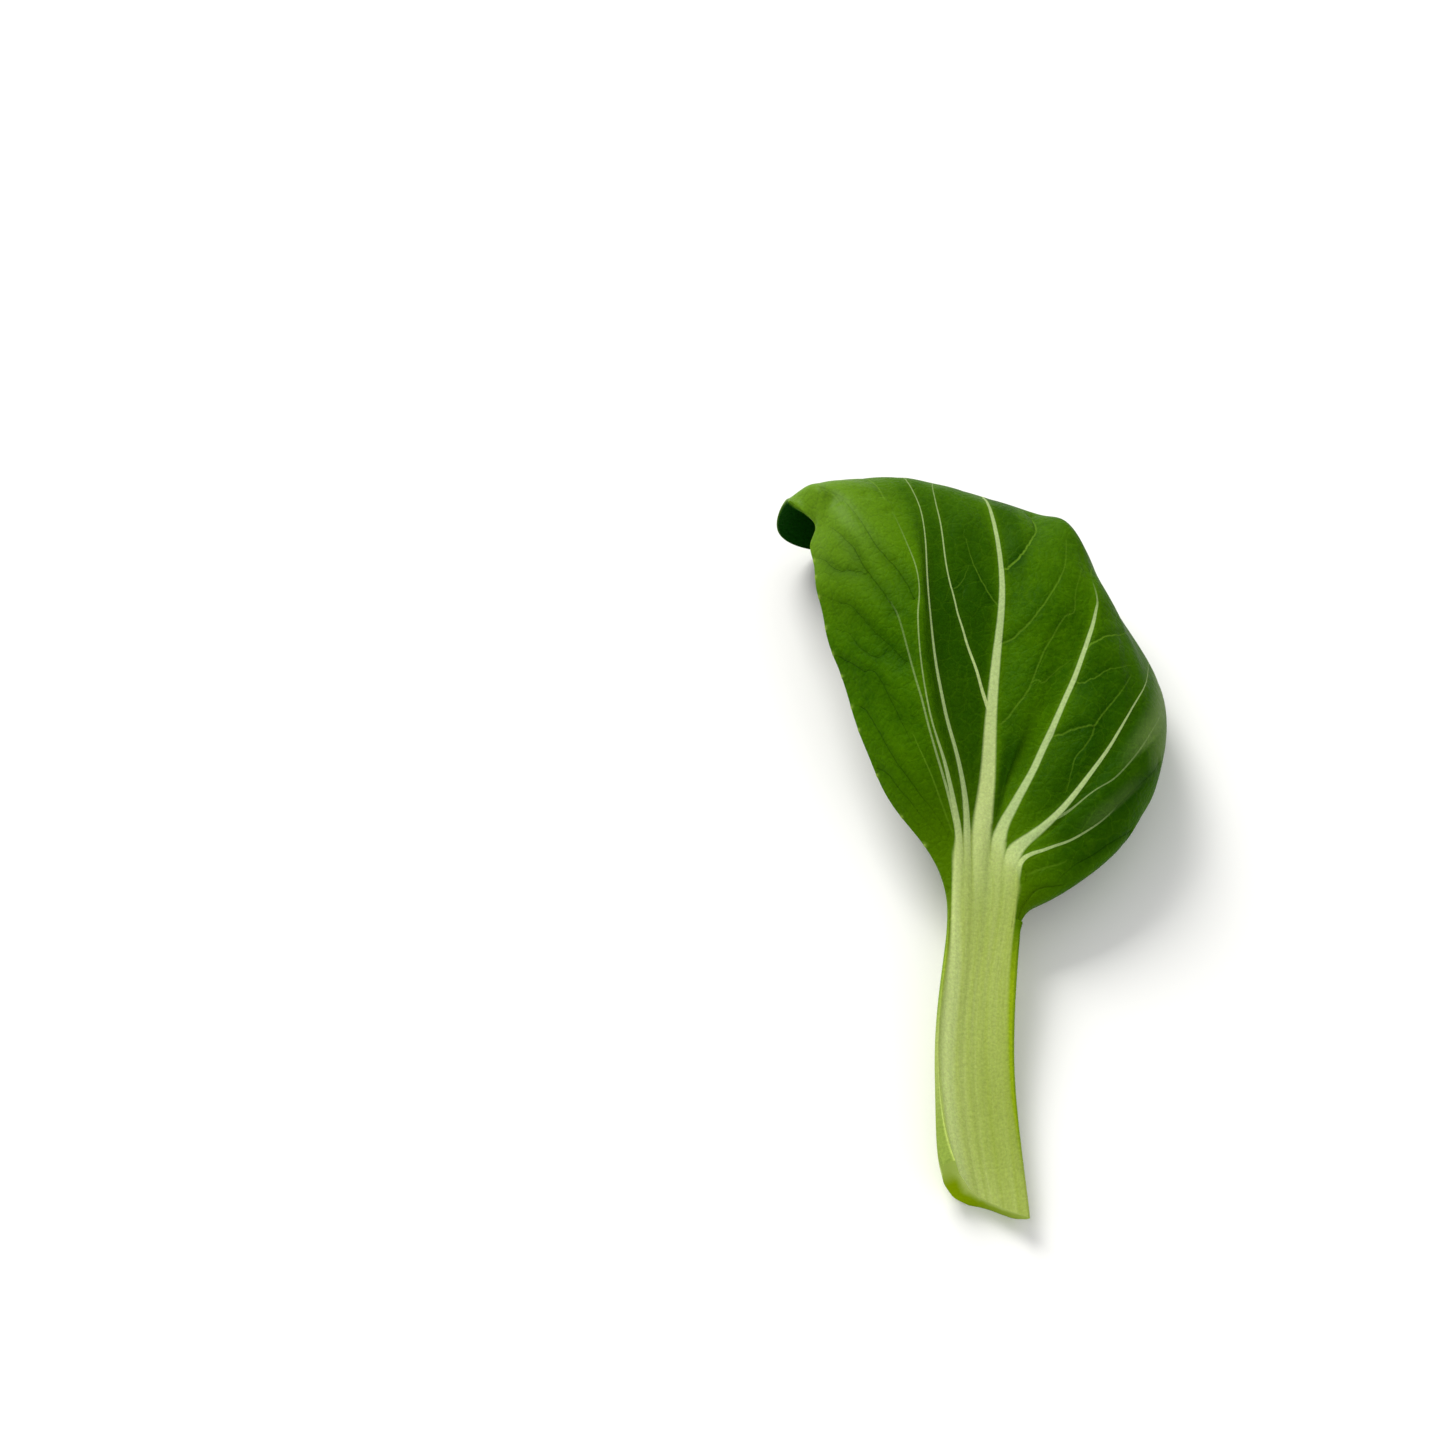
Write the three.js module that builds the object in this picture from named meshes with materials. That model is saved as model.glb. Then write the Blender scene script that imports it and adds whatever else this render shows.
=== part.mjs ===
// A single cut leaf of green-stalked bok choy, lying on the back of its stalk
// and on the rolled-down margins of its blade. Millimetres, +Z up, the cut end
// towards -Y and the blade towards +Y, with the inner face of the leaf up.
//
// The leaf is one solid. Its inner face is a smooth surface over two places:
//   - along the leaf: the distance from the cut end towards the blade's margin;
//   - across the leaf: the strand, counted from the left margin to the right.
// A strand is the path of one rib or panel. It runs up the stalk as a flute and
// fans out through the blade to the margin. The surface passes through the
// strands as a natural cubic spline both ways. The outer face lies below it by
// the local thickness, and a narrow rim joins the two faces all round.
import * as THREE from 'three';

// ---------------------------------------------------------------- dimensions

// The middle of the leaf's bounding box in the frame that the strands use.
const FOOTPRINT_CENTRE = [0.87, 83.83];

const BLADE_THICKNESS = 0.9;
const STALK_EDGE_THICKNESS = 1.0;
const STALK_MIDDLE_THICKNESS = 4.4;

// The left wall is thicker near the cut, and thins out again up the stalk.
const CUT_WALL_EXTRA_THICKNESS = 1.5;
const CUT_WALL_REACH_ACROSS = 2.2;
const CUT_WALL_FULL_UP_TO = 3;
const CUT_WALL_GONE_FROM = 27;

// Where the stalk has ended and the blade has begun, measured along the leaf.
const STALK_END = 62;
const BLADE_START = 94;

const FLUTE_COUNT = 7;
const FLUTE_DEPTH = 0.08;

// Shallow puckers run slantwise between the ribs, over the open part of the blade.
const PUCKER_HEIGHT = 0.3;
const PUCKER_LENGTH = 14;
const PUCKER_SLANT = 0.7;
const PUCKER_CLEAR_OF_RIBS = 3;
const PUCKERS_RISE = [88, 105];
const PUCKERS_FADE = [138, 152];
const PUCKERS_FADE_TO_RIGHT = [8.0, 9.0];

// Steps of the faceted surface.
const STEPS_PER_PANEL = 3;
const STEPS_ALONG_STALK = 14;
const STEPS_ALONG_BLADE = 44;

// Short steps on which the slope of the surface is read.
const SLOPE_STEP_ACROSS = 0.05;
const SLOPE_STEP_ALONG = 0.5;

// Places along the leaf at which every strand has a point.
const STALK_PLACES = [0, 13, 32, 51];
const BLADE_PLACES = [66, 75, 86, 98, 112, 126, 137, 146, 155, 162];
const PLACES_ALONG = [...STALK_PLACES, ...BLADE_PLACES];
const LEAF_LENGTH = PLACES_ALONG[PLACES_ALONG.length - 1];

// The stalk is a channel: its floor, its half width and the height of its walls
// at each stalk place. The cut at the first place runs askew: it slants across
// the stalk and leans back up the left wall.
const STALK_SECTIONS = [
  { floor: [1.0, 1.4, 3.7], halfWidth: 7.1, leftWall: 5.4, rightWall: 1.5, slant: 3.9, lean: 2.5 },
  { floor: [-0.5, 13.8, 4.4], halfWidth: 7.3, leftWall: 4.3, rightWall: 2.2, slant: 0, lean: 1.4 },
  { floor: [-1.2, 32.7, 6.2], halfWidth: 7.4, leftWall: 2.9, rightWall: 2.2, slant: 0, lean: 0.6 },
  { floor: [0.4, 51.5, 9.0], halfWidth: 7.1, leftWall: 2.3, rightWall: 2.2, slant: 0, lean: 0.3 },
];
const LEFT_WALL_CURVE = 2.6;
const RIGHT_WALL_CURVE = 2.1;
const LEAN_CURVE = 5;

// The strands of the blade, from the left margin to the right: the place of each
// across the leaf, and its path from the top of the stalk to the margin.
const STRANDS = [
  {
    name: 'left margin', across: 0,
    path: [
      [-6, 67.5, 12.6], [-9, 76.5, 13.5], [-16.5, 87, 15.5], [-22, 99.5, 18.5], [-27.5, 117.5, 21.5],
      [-31, 131.5, 24], [-32.5, 142, 25], [-33, 148, 25.2], [-32.2, 152, 27], [-37.2, 156.3, 29],
    ],
  },
  {
    name: 'left lobe', across: 0.7,
    path: [
      [-5.4, 67.7, 12.8], [-7.2, 76.8, 14.4], [-14, 87, 19], [-18.5, 99, 22.5], [-23, 116, 26],
      [-26, 131, 28.5], [-28.5, 144, 29.5], [-29, 153, 30.5], [-32.5, 158.5, 31], [-38.3, 160.7, 23],
    ],
  },
  {
    name: 'left flap', across: 1.5,
    path: [
      [-4.7, 68, 13], [-5.5, 77.5, 15.3], [-10, 88, 21.5], [-14, 99, 26], [-17, 115.5, 30],
      [-19.5, 132, 32.2], [-22, 146.5, 32.5], [-27, 159, 30.5], [-33.5, 164, 22], [-39.3, 162.2, 10.5],
    ],
  },
  {
    name: 'fold rib', across: 2.4,
    path: [
      [-3.6, 68, 13], [-3.8, 79, 16.3], [-6.5, 91, 23.6], [-9, 101, 28], [-10.5, 118.5, 31.8],
      [-11, 135, 33], [-14.5, 150, 31.5], [-19.5, 162, 28], [-26, 169.4, 15.3], [-28, 165.5, 0],
    ],
  },
  {
    name: 'left rib', across: 3.3,
    path: [
      [-2.1, 68, 12.9], [-1.8, 78, 15.2], [-2.5, 92.5, 21], [-5, 104, 25.2], [-7, 121, 29.5],
      [-8, 138.5, 31.5], [-9.5, 153, 30.5], [-13, 163.6, 27], [-14.5, 170, 15], [-15, 168, 0.5],
    ],
  },
  {
    name: 'midrib', across: 5,
    path: [
      [1.5, 68.5, 12.5], [1.5, 78.5, 15], [3, 91, 18], [4, 103.5, 22], [6, 121, 26],
      [7.5, 137, 28.5], [6.5, 151, 28], [5, 159, 25.5], [3.5, 167.5, 14], [3, 165.5, 2],
    ],
  },
  {
    name: 'top panel', across: 6.4,
    path: [
      [3.5, 68.5, 12.5], [4, 79, 14.5], [6, 89.5, 17.5], [9.5, 100.5, 22], [14.5, 117.5, 26.5],
      [17.5, 132.5, 29], [18.5, 145, 28], [18, 155, 25], [18, 161, 13], [17.5, 159, 2.5],
    ],
  },
  {
    name: 'first right rib', across: 7.6,
    path: [
      [5.5, 68, 13], [6, 77.5, 15], [8.5, 89, 18], [15.5, 101, 22.5], [22, 115, 26],
      [26.5, 128.5, 27], [26.2, 139, 26.3], [25.7, 147.5, 23.4], [25, 151.5, 12], [24.5, 149, 3],
    ],
  },
  {
    name: 'right panel', across: 8.1,
    path: [
      [6, 67.5, 13], [6.8, 76.3, 15], [11, 85, 18], [18.5, 94.5, 22.3], [25.5, 106.5, 25.3],
      [30, 118.5, 25.3], [31.5, 128.5, 23.2], [31, 138, 17.8], [31, 142.5, 9.5], [30, 142, 2],
    ],
  },
  {
    name: 'second right rib', across: 8.6,
    path: [
      [6.5, 67, 13], [7.5, 75, 15], [13.5, 80.5, 17.5], [21, 88, 21], [28.5, 97.5, 23.5],
      [34, 108.5, 23], [36.7, 119, 19.5], [36.9, 130, 12.5], [36.5, 132.5, 6.5], [35.2, 133.5, 1.5],
    ],
  },
  {
    name: 'third right rib', across: 9.2,
    path: [
      [7.4, 66.2, 13.4], [8.5, 73.5, 15], [14, 78.5, 17.5], [22, 84.5, 20.5], [29, 90.5, 22.5],
      [35.5, 98, 21.5], [40.4, 107, 17], [41.4, 118, 11], [40, 120.5, 5.5], [38, 121.5, 0],
    ],
  },
  {
    name: 'fourth right rib', across: 9.9,
    path: [
      [8, 65, 13.4], [9.5, 70.5, 14.8], [15, 75, 17], [22.5, 78.5, 19], [30, 84, 20],
      [35.8, 90.5, 18.5], [39.1, 96, 14.5], [40.1, 104.5, 9.5], [38.5, 107.5, 5], [37, 109, 0],
    ],
  },
  {
    name: 'right belly', across: 10.7,
    path: [
      [8.8, 63.5, 13], [11.5, 65.8, 13.5], [17.5, 68.5, 14], [25, 73.5, 14], [31.5, 80.5, 13],
      [34.8, 87.5, 10], [36.2, 91.5, 7.2], [36.8, 94.5, 4.7], [36.8, 97, 2.4], [36, 99, 0.4],
    ],
  },
  {
    name: 'right margin', across: 11.5,
    path: [
      [9.4, 61.5, 11.6], [11.2, 65.6, 9.3], [14.6, 69.2, 6.5], [19, 74, 4.3], [23, 78.2, 3],
      [26, 82, 2.2], [28.2, 85.8, 1.6], [29.7, 89, 1.2], [30.5, 92, 1], [31, 94.5, 0.8],
    ],
  },
];
const PLACES_ACROSS = STRANDS.map((strand) => strand.across);
const RIGHT_EDGE = PLACES_ACROSS[PLACES_ACROSS.length - 1];

// The ribs: the places [along, across] that each runs through, where it starts
// and fades out along the leaf, how deep its valley is on the inner face (below
// zero for a ridge), and how high and wide it stands out of the outer face.
const RIBS = [
  {
    name: 'fold rib',
    path: [[66, 3.2], [75, 3], [84, 2.55], [96, 2.4], [112, 2.33], [162, 2.35]],
    start: 78, end: 150, valley: -0.3, back: 0.5, width: 1.6,
  },
  {
    name: 'left rib',
    path: [[66, 3.9], [78, 3.45], [88, 3.27], [104, 3.2], [120, 3.18], [137, 3.3], [162, 3.4]],
    start: 76, end: 150, valley: 0.7, back: 0.7, width: 1.7,
  },
  {
    name: 'midrib',
    path: [[66, 5.15], [80, 5.12], [92, 5.02], [112, 5], [162, 5]],
    start: 76, end: 156, valley: 0.8, back: 1.8, width: 2.2,
  },
  {
    name: 'left branch',
    path: [[100, 4.88], [106, 4.46], [113, 4.12], [124, 3.84], [136, 3.77], [147, 4]],
    start: 103, end: 158, valley: 0.5, back: 0.3, width: 1.5,
  },
  {
    name: 'first right rib',
    path: [[66, 6.45], [74, 6.8], [80, 7.35], [86, 7.62], [100, 7.6], [162, 7.6]],
    start: 74, end: 146, valley: 0.8, back: 1.1, width: 1.9,
  },
  {
    name: 'second right rib',
    path: [[66, 9.05], [76, 8.8], [86, 8.54], [100, 8.6], [162, 8.6]],
    start: 76, end: 130, valley: 0.7, back: 0.8, width: 1.8,
  },
  {
    name: 'third right rib',
    path: [[90, 8.74], [95, 9], [101, 9.13], [110, 9.2], [162, 9.2]],
    start: 92, end: 124, valley: 0.3, back: 0.4, width: 1.6,
  },
  {
    name: 'fourth right rib',
    path: [[66, 9.1], [75, 9.38], [84, 9.74], [94, 9.9], [112, 9.86], [162, 9.86]],
    start: 76, end: 116, valley: 0.6, back: 0.5, width: 1.7,
  },
];
const RIB_VALLEY_WIDTH = 3.2;
const RIB_VALLEY_RISE = 22;
const RIB_VALLEY_FADE = 30;
const RIB_BACK_STARTS_BEFORE = 20;
const RIB_BACK_FULL_AFTER = 5;
const RIB_BACK_TAPER = 0.85;

// Spots where the leaf bends so tightly that it is thinner: the foot of the fold
// rib, the feet of both margins and the notch of the rolled tip. The share of
// the thickness is what is lost in the middle of the spot.
const THIN_SPOTS = [
  { along: 72, across: 2.0, alongReach: 14, acrossReach: 1.3, share: 0.6 },
  { along: 64, across: 0.6, alongReach: 12, acrossReach: 1.0, share: 0.5 },
  { along: 73, across: 10.6, alongReach: 8, acrossReach: 0.9, share: 0.45 },
  { along: 147, across: 0.2, alongReach: 9, acrossReach: 0.9, share: 0.33 },
];
const LEAST_THICKNESS = 0.6;

// ------------------------------------------------------------------- splines

/** Solve for the second derivatives of a natural cubic spline at its knots. */
function splineBends(knots, points) {
  const count = knots.length;
  const bends = points.map(() => new THREE.Vector3());
  const carry = new Array(count).fill(0);
  for (let i = 1; i < count - 1; i += 1) {
    const before = knots[i] - knots[i - 1];
    const after = knots[i + 1] - knots[i];
    const pivot = (before + after) / 3 - (before / 6) * carry[i - 1];
    carry[i] = after / 6 / pivot;
    const slopeAfter = points[i + 1].clone().sub(points[i]).divideScalar(after);
    const slopeBefore = points[i].clone().sub(points[i - 1]).divideScalar(before);
    bends[i].copy(slopeAfter).sub(slopeBefore);
    bends[i].addScaledVector(bends[i - 1], -before / 6).divideScalar(pivot);
  }
  for (let i = count - 2; i > 0; i -= 1) {
    bends[i].addScaledVector(bends[i + 1], -carry[i]);
  }
  return bends;
}

/** A smooth path through points that are given at rising knots. */
class SmoothPath {
  constructor(knots, points) {
    this.knots = knots;
    this.points = points;
    this.bends = splineBends(knots, points);
  }

  at(place) {
    let i = 0;
    while (i < this.knots.length - 2 && place > this.knots[i + 1]) i += 1;
    const span = this.knots[i + 1] - this.knots[i];
    const a = (this.knots[i + 1] - place) / span;
    const b = 1 - a;
    const bendScale = (span * span) / 6;
    return new THREE.Vector3()
      .addScaledVector(this.points[i], a)
      .addScaledVector(this.points[i + 1], b)
      .addScaledVector(this.bends[i], (a ** 3 - a) * bendScale)
      .addScaledVector(this.bends[i + 1], (b ** 3 - b) * bendScale);
  }
}

// --------------------------------------------------------------- the surface

/** A point of the stalk's channel: a floor that rises to a wall on each side. */
function stalkPoint(section, across) {
  const side = (2 * across) / RIGHT_EDGE - 1;
  const reach = Math.abs(side);
  const wall = side < 0
    ? section.leftWall * reach ** LEFT_WALL_CURVE
    : section.rightWall * reach ** RIGHT_WALL_CURVE;
  const lean = side < 0 ? section.lean * reach ** LEAN_CURVE : 0;
  const [x, y, z] = section.floor;
  return new THREE.Vector3(x + section.halfWidth * side, y - section.slant * side + lean, z + wall);
}

const strandPaths = STRANDS.map((strand) => {
  const stalk = STALK_SECTIONS.map((section) => stalkPoint(section, strand.across));
  const blade = strand.path.map((point) => new THREE.Vector3(...point));
  return new SmoothPath(PLACES_ALONG, [...stalk, ...blade]);
});

/** The smooth line across the leaf at one place along it. */
function lineAcross(along) {
  return new SmoothPath(PLACES_ACROSS, strandPaths.map((path) => path.at(along)));
}

/** A step from 0 to 1 with soft ends, between two places. */
function softStep(from, to, place) {
  return THREE.MathUtils.smoothstep(place, from, to);
}

/** A bell that is 1 on a line and falls off over the given width. */
function bell(distance, width) {
  return Math.exp(-((distance / width) ** 2));
}

const ribLines = new Map(RIBS.map((rib) => {
  const places = rib.path.map(([, across]) => new THREE.Vector3(across, 0, 0));
  return [rib, new SmoothPath(rib.path.map(([along]) => along), places)];
}));

/** How far a place is from a rib, measured across the leaf. */
function distanceFromRib(rib, along, across, spread) {
  const [first] = rib.path[0];
  const [last] = rib.path[rib.path.length - 1];
  const ribPlace = ribLines.get(rib).at(THREE.MathUtils.clamp(along, first, last)).x;
  return Math.abs(across - ribPlace) * spread;
}

/** Height of the inner face over the smooth surface: rib valleys and puckers. */
function reliefHeight(along, across, spread) {
  const stalkShare = 1 - softStep(STALK_END, BLADE_START, along);
  const flutes = FLUTE_DEPTH * stalkShare * Math.cos((2 * Math.PI * FLUTE_COUNT * across) / RIGHT_EDGE);
  let height = flutes;
  let nearest = Infinity;
  for (const rib of RIBS) {
    const distance = distanceFromRib(rib, along, across, spread);
    const grown = softStep(rib.start, rib.start + RIB_VALLEY_RISE, along);
    const share = grown * (1 - softStep(rib.end - RIB_VALLEY_FADE, rib.end, along));
    height -= rib.valley * share * bell(distance, RIB_VALLEY_WIDTH);
    nearest = Math.min(nearest, distance + RIB_VALLEY_WIDTH * (1 - share));
  }
  const onBlade = softStep(...PUCKERS_RISE, along) * (1 - softStep(...PUCKERS_FADE, along));
  const leftOfBelly = 1 - softStep(...PUCKERS_FADE_TO_RIGHT, across);
  const puckerShare = onBlade * leftOfBelly * (1 - bell(nearest, PUCKER_CLEAR_OF_RIBS));
  const pucker = Math.sin((2 * Math.PI * (along - PUCKER_SLANT * nearest)) / PUCKER_LENGTH);
  return height + PUCKER_HEIGHT * puckerShare * pucker;
}

/** Thickness of the leaf: a thick stalk, a thin blade, and ribs on its back. */
function thicknessAt(along, across, spread) {
  const stalkShare = 1 - softStep(STALK_END, BLADE_START, along);
  const crown = 1 - Math.abs((2 * across) / RIGHT_EDGE - 1) ** 3;
  const stalkThickness = STALK_EDGE_THICKNESS + (STALK_MIDDLE_THICKNESS - STALK_EDGE_THICKNESS) * crown;
  const nearCut = 1 - softStep(CUT_WALL_FULL_UP_TO, CUT_WALL_GONE_FROM, along);
  const cutWall = CUT_WALL_EXTRA_THICKNESS * nearCut * bell(across, CUT_WALL_REACH_ACROSS);
  let thickness = BLADE_THICKNESS + (stalkThickness - BLADE_THICKNESS) * stalkShare + cutWall;
  for (const rib of RIBS) {
    const full = rib.start + RIB_BACK_FULL_AFTER;
    const grown = softStep(rib.start - RIB_BACK_STARTS_BEFORE, full, along);
    const share = grown * (1 - RIB_BACK_TAPER * softStep(full, rib.end, along));
    thickness += rib.back * share * bell(distanceFromRib(rib, along, across, spread), rib.width);
  }
  for (const spot of THIN_SPOTS) {
    const near = bell(along - spot.along, spot.alongReach) * bell(across - spot.across, spot.acrossReach);
    thickness *= 1 - spot.share * near;
  }
  return Math.max(thickness, LEAST_THICKNESS);
}

/** The two faces of the leaf at one place: a point of each. */
function facePoints(lines, across) {
  const left = Math.max(0, across - SLOPE_STEP_ACROSS);
  const right = Math.min(RIGHT_EDGE, across + SLOPE_STEP_ACROSS);
  const sideways = lines.here.at(right).sub(lines.here.at(left));
  const forwards = lines.after.at(across).sub(lines.before.at(across));
  const spread = sideways.length() / (right - left);
  const up = new THREE.Vector3().crossVectors(sideways, forwards).normalize();
  const inner = lines.here.at(across).addScaledVector(up, reliefHeight(lines.along, across, spread));
  const outer = inner.clone().addScaledVector(up, -thicknessAt(lines.along, across, spread));
  inner.z = Math.max(inner.z, 0);
  outer.z = Math.max(outer.z, 0);
  return { inner, outer };
}

// ----------------------------------------------------------------- the solid

/** Places of the grid across the leaf: even steps between neighbouring strands. */
function gridPlacesAcross() {
  const places = [];
  for (let i = 0; i < PLACES_ACROSS.length - 1; i += 1) {
    for (let step = 0; step < STEPS_PER_PANEL; step += 1) {
      places.push(THREE.MathUtils.lerp(PLACES_ACROSS[i], PLACES_ACROSS[i + 1], step / STEPS_PER_PANEL));
    }
  }
  places.push(RIGHT_EDGE);
  return places;
}

/** Places of the grid along the leaf: long steps up the stalk, short ones on the blade. */
function gridPlacesAlong() {
  const places = [];
  for (let step = 0; step < STEPS_ALONG_STALK; step += 1) {
    places.push((STALK_END * step) / STEPS_ALONG_STALK);
  }
  for (let step = 0; step <= STEPS_ALONG_BLADE; step += 1) {
    places.push(THREE.MathUtils.lerp(STALK_END, LEAF_LENGTH, step / STEPS_ALONG_BLADE));
  }
  return places;
}

/** The closed leaf: inner face, outer face and the rim between them. */
function leafGeometry() {
  const placesAcross = gridPlacesAcross();
  const placesAlong = gridPlacesAlong();
  const columns = placesAcross.length;
  const rows = placesAlong.length;
  const inner = [];
  const outer = [];
  for (const along of placesAlong) {
    const lines = {
      along,
      here: lineAcross(along),
      before: lineAcross(Math.max(0, along - SLOPE_STEP_ALONG)),
      after: lineAcross(Math.min(LEAF_LENGTH, along + SLOPE_STEP_ALONG)),
    };
    for (const across of placesAcross) {
      const faces = facePoints(lines, across);
      inner.push(faces.inner);
      outer.push(faces.outer);
    }
  }

  const indices = [];
  const outerStart = inner.length;
  for (let row = 0; row < rows - 1; row += 1) {
    for (let column = 0; column < columns - 1; column += 1) {
      const a = row * columns + column;
      const b = a + 1;
      const c = b + columns;
      const d = a + columns;
      indices.push(a, b, c, a, c, d);
      indices.push(outerStart + a, outerStart + c, outerStart + b);
      indices.push(outerStart + a, outerStart + d, outerStart + c);
    }
  }
  const rim = rimLoop(rows, columns);
  rim.forEach((here, i) => {
    const next = rim[(i + 1) % rim.length];
    indices.push(here, outerStart + here, outerStart + next);
    indices.push(here, outerStart + next, next);
  });

  const positions = [...inner, ...outer].flatMap((point) => point.toArray());
  const geometry = new THREE.BufferGeometry();
  geometry.setAttribute('position', new THREE.Float32BufferAttribute(positions, 3));
  geometry.setIndex(indices);
  geometry.translate(-FOOTPRINT_CENTRE[0], -FOOTPRINT_CENTRE[1], 0);
  geometry.computeVertexNormals();
  return geometry;
}

/** The grid points round the edge: cut end, right margin, tip, left margin. */
function rimLoop(rows, columns) {
  const loop = [];
  for (let column = 0; column < columns - 1; column += 1) loop.push(column);
  for (let row = 0; row < rows - 1; row += 1) loop.push(row * columns + columns - 1);
  for (let column = columns - 1; column > 0; column -= 1) loop.push((rows - 1) * columns + column);
  for (let row = rows - 1; row > 0; row -= 1) loop.push(row * columns);
  return loop;
}

// ----------------------------------------------------------------- the model

const leafMaterial = new THREE.MeshStandardMaterial({ color: 0x5a8a1e, roughness: 0.45, metalness: 0 });
const leaf = new THREE.Mesh(leafGeometry(), leafMaterial);
leaf.name = 'leaf';

const group = new THREE.Group();
group.add(leaf);

export default group;
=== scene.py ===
# A single cut leaf of green-stalked bok choy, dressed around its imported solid.
# The leaf lies on the back of its stalk and on its rolled-down margins, with
# its inner face up. Blender works in metres; the tables below are millimetres.
import math
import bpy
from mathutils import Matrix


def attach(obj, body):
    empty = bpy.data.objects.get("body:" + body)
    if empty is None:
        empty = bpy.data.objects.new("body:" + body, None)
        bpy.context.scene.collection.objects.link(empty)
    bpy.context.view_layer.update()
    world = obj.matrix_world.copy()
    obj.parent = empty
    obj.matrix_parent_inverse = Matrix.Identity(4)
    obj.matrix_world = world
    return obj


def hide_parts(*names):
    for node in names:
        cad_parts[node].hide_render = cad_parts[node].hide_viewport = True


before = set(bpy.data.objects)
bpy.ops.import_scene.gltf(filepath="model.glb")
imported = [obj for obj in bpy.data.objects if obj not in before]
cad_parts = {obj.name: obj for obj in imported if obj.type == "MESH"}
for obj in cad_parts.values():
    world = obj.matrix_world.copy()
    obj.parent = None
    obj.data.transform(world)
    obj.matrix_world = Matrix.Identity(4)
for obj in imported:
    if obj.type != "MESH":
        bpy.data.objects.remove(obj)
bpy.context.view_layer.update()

from types import SimpleNamespace

import bpy
import numpy as np

# ------------------------------------------------------------ the leaf's form

MM = 0.001
FOOTPRINT_CENTRE = np.array([0.87, 83.83, 0.0])

BLADE_THICKNESS = 0.9
STALK_EDGE_THICKNESS = 1.0
STALK_MIDDLE_THICKNESS = 4.4
CUT_WALL_EXTRA_THICKNESS = 1.5
CUT_WALL_REACH_ACROSS = 2.2
CUT_WALL_FADE = (3, 27)
LEAST_THICKNESS = 0.6

# Where the stalk has ended and the blade has begun, measured along the leaf.
STALK_END = 62.0
BLADE_START = 94.0

FLUTE_COUNT = 7
FLUTE_DEPTH = 0.08

# Shallow puckers run slantwise between the ribs, over the open part of the blade.
PUCKER_HEIGHT = 0.3
PUCKER_LENGTH = 14.0
PUCKER_SLANT = 0.7
PUCKER_CLEAR_OF_RIBS = 3.0
PUCKERS_RISE = (88, 105)
PUCKERS_FADE = (138, 152)
PUCKERS_FADE_TO_RIGHT = (8.0, 9.0)

# Places along the leaf at which every strand has a point.
STALK_PLACES = [0, 13, 32, 51]
BLADE_PLACES = [66, 75, 86, 98, 112, 126, 137, 146, 155, 162]
PLACES_ALONG = np.array(STALK_PLACES + BLADE_PLACES, float)
LEAF_LENGTH = PLACES_ALONG[-1]

# The stalk's channel at each stalk place: the point of its floor, its half
# width, the height of its left and right wall, the slant of the cut across it
# and how far the left wall leans back.
STALK_SECTIONS = [
    ([1.0, 1.4, 3.7], 7.1, 5.4, 1.5, 3.9, 2.5),
    ([-0.5, 13.8, 4.4], 7.3, 4.3, 2.2, 0.0, 1.4),
    ([-1.2, 32.7, 6.2], 7.4, 2.9, 2.2, 0.0, 0.6),
    ([0.4, 51.5, 9.0], 7.1, 2.3, 2.2, 0.0, 0.3),
]
LEFT_WALL_CURVE = 2.6
RIGHT_WALL_CURVE = 2.1
LEAN_CURVE = 5

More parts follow.
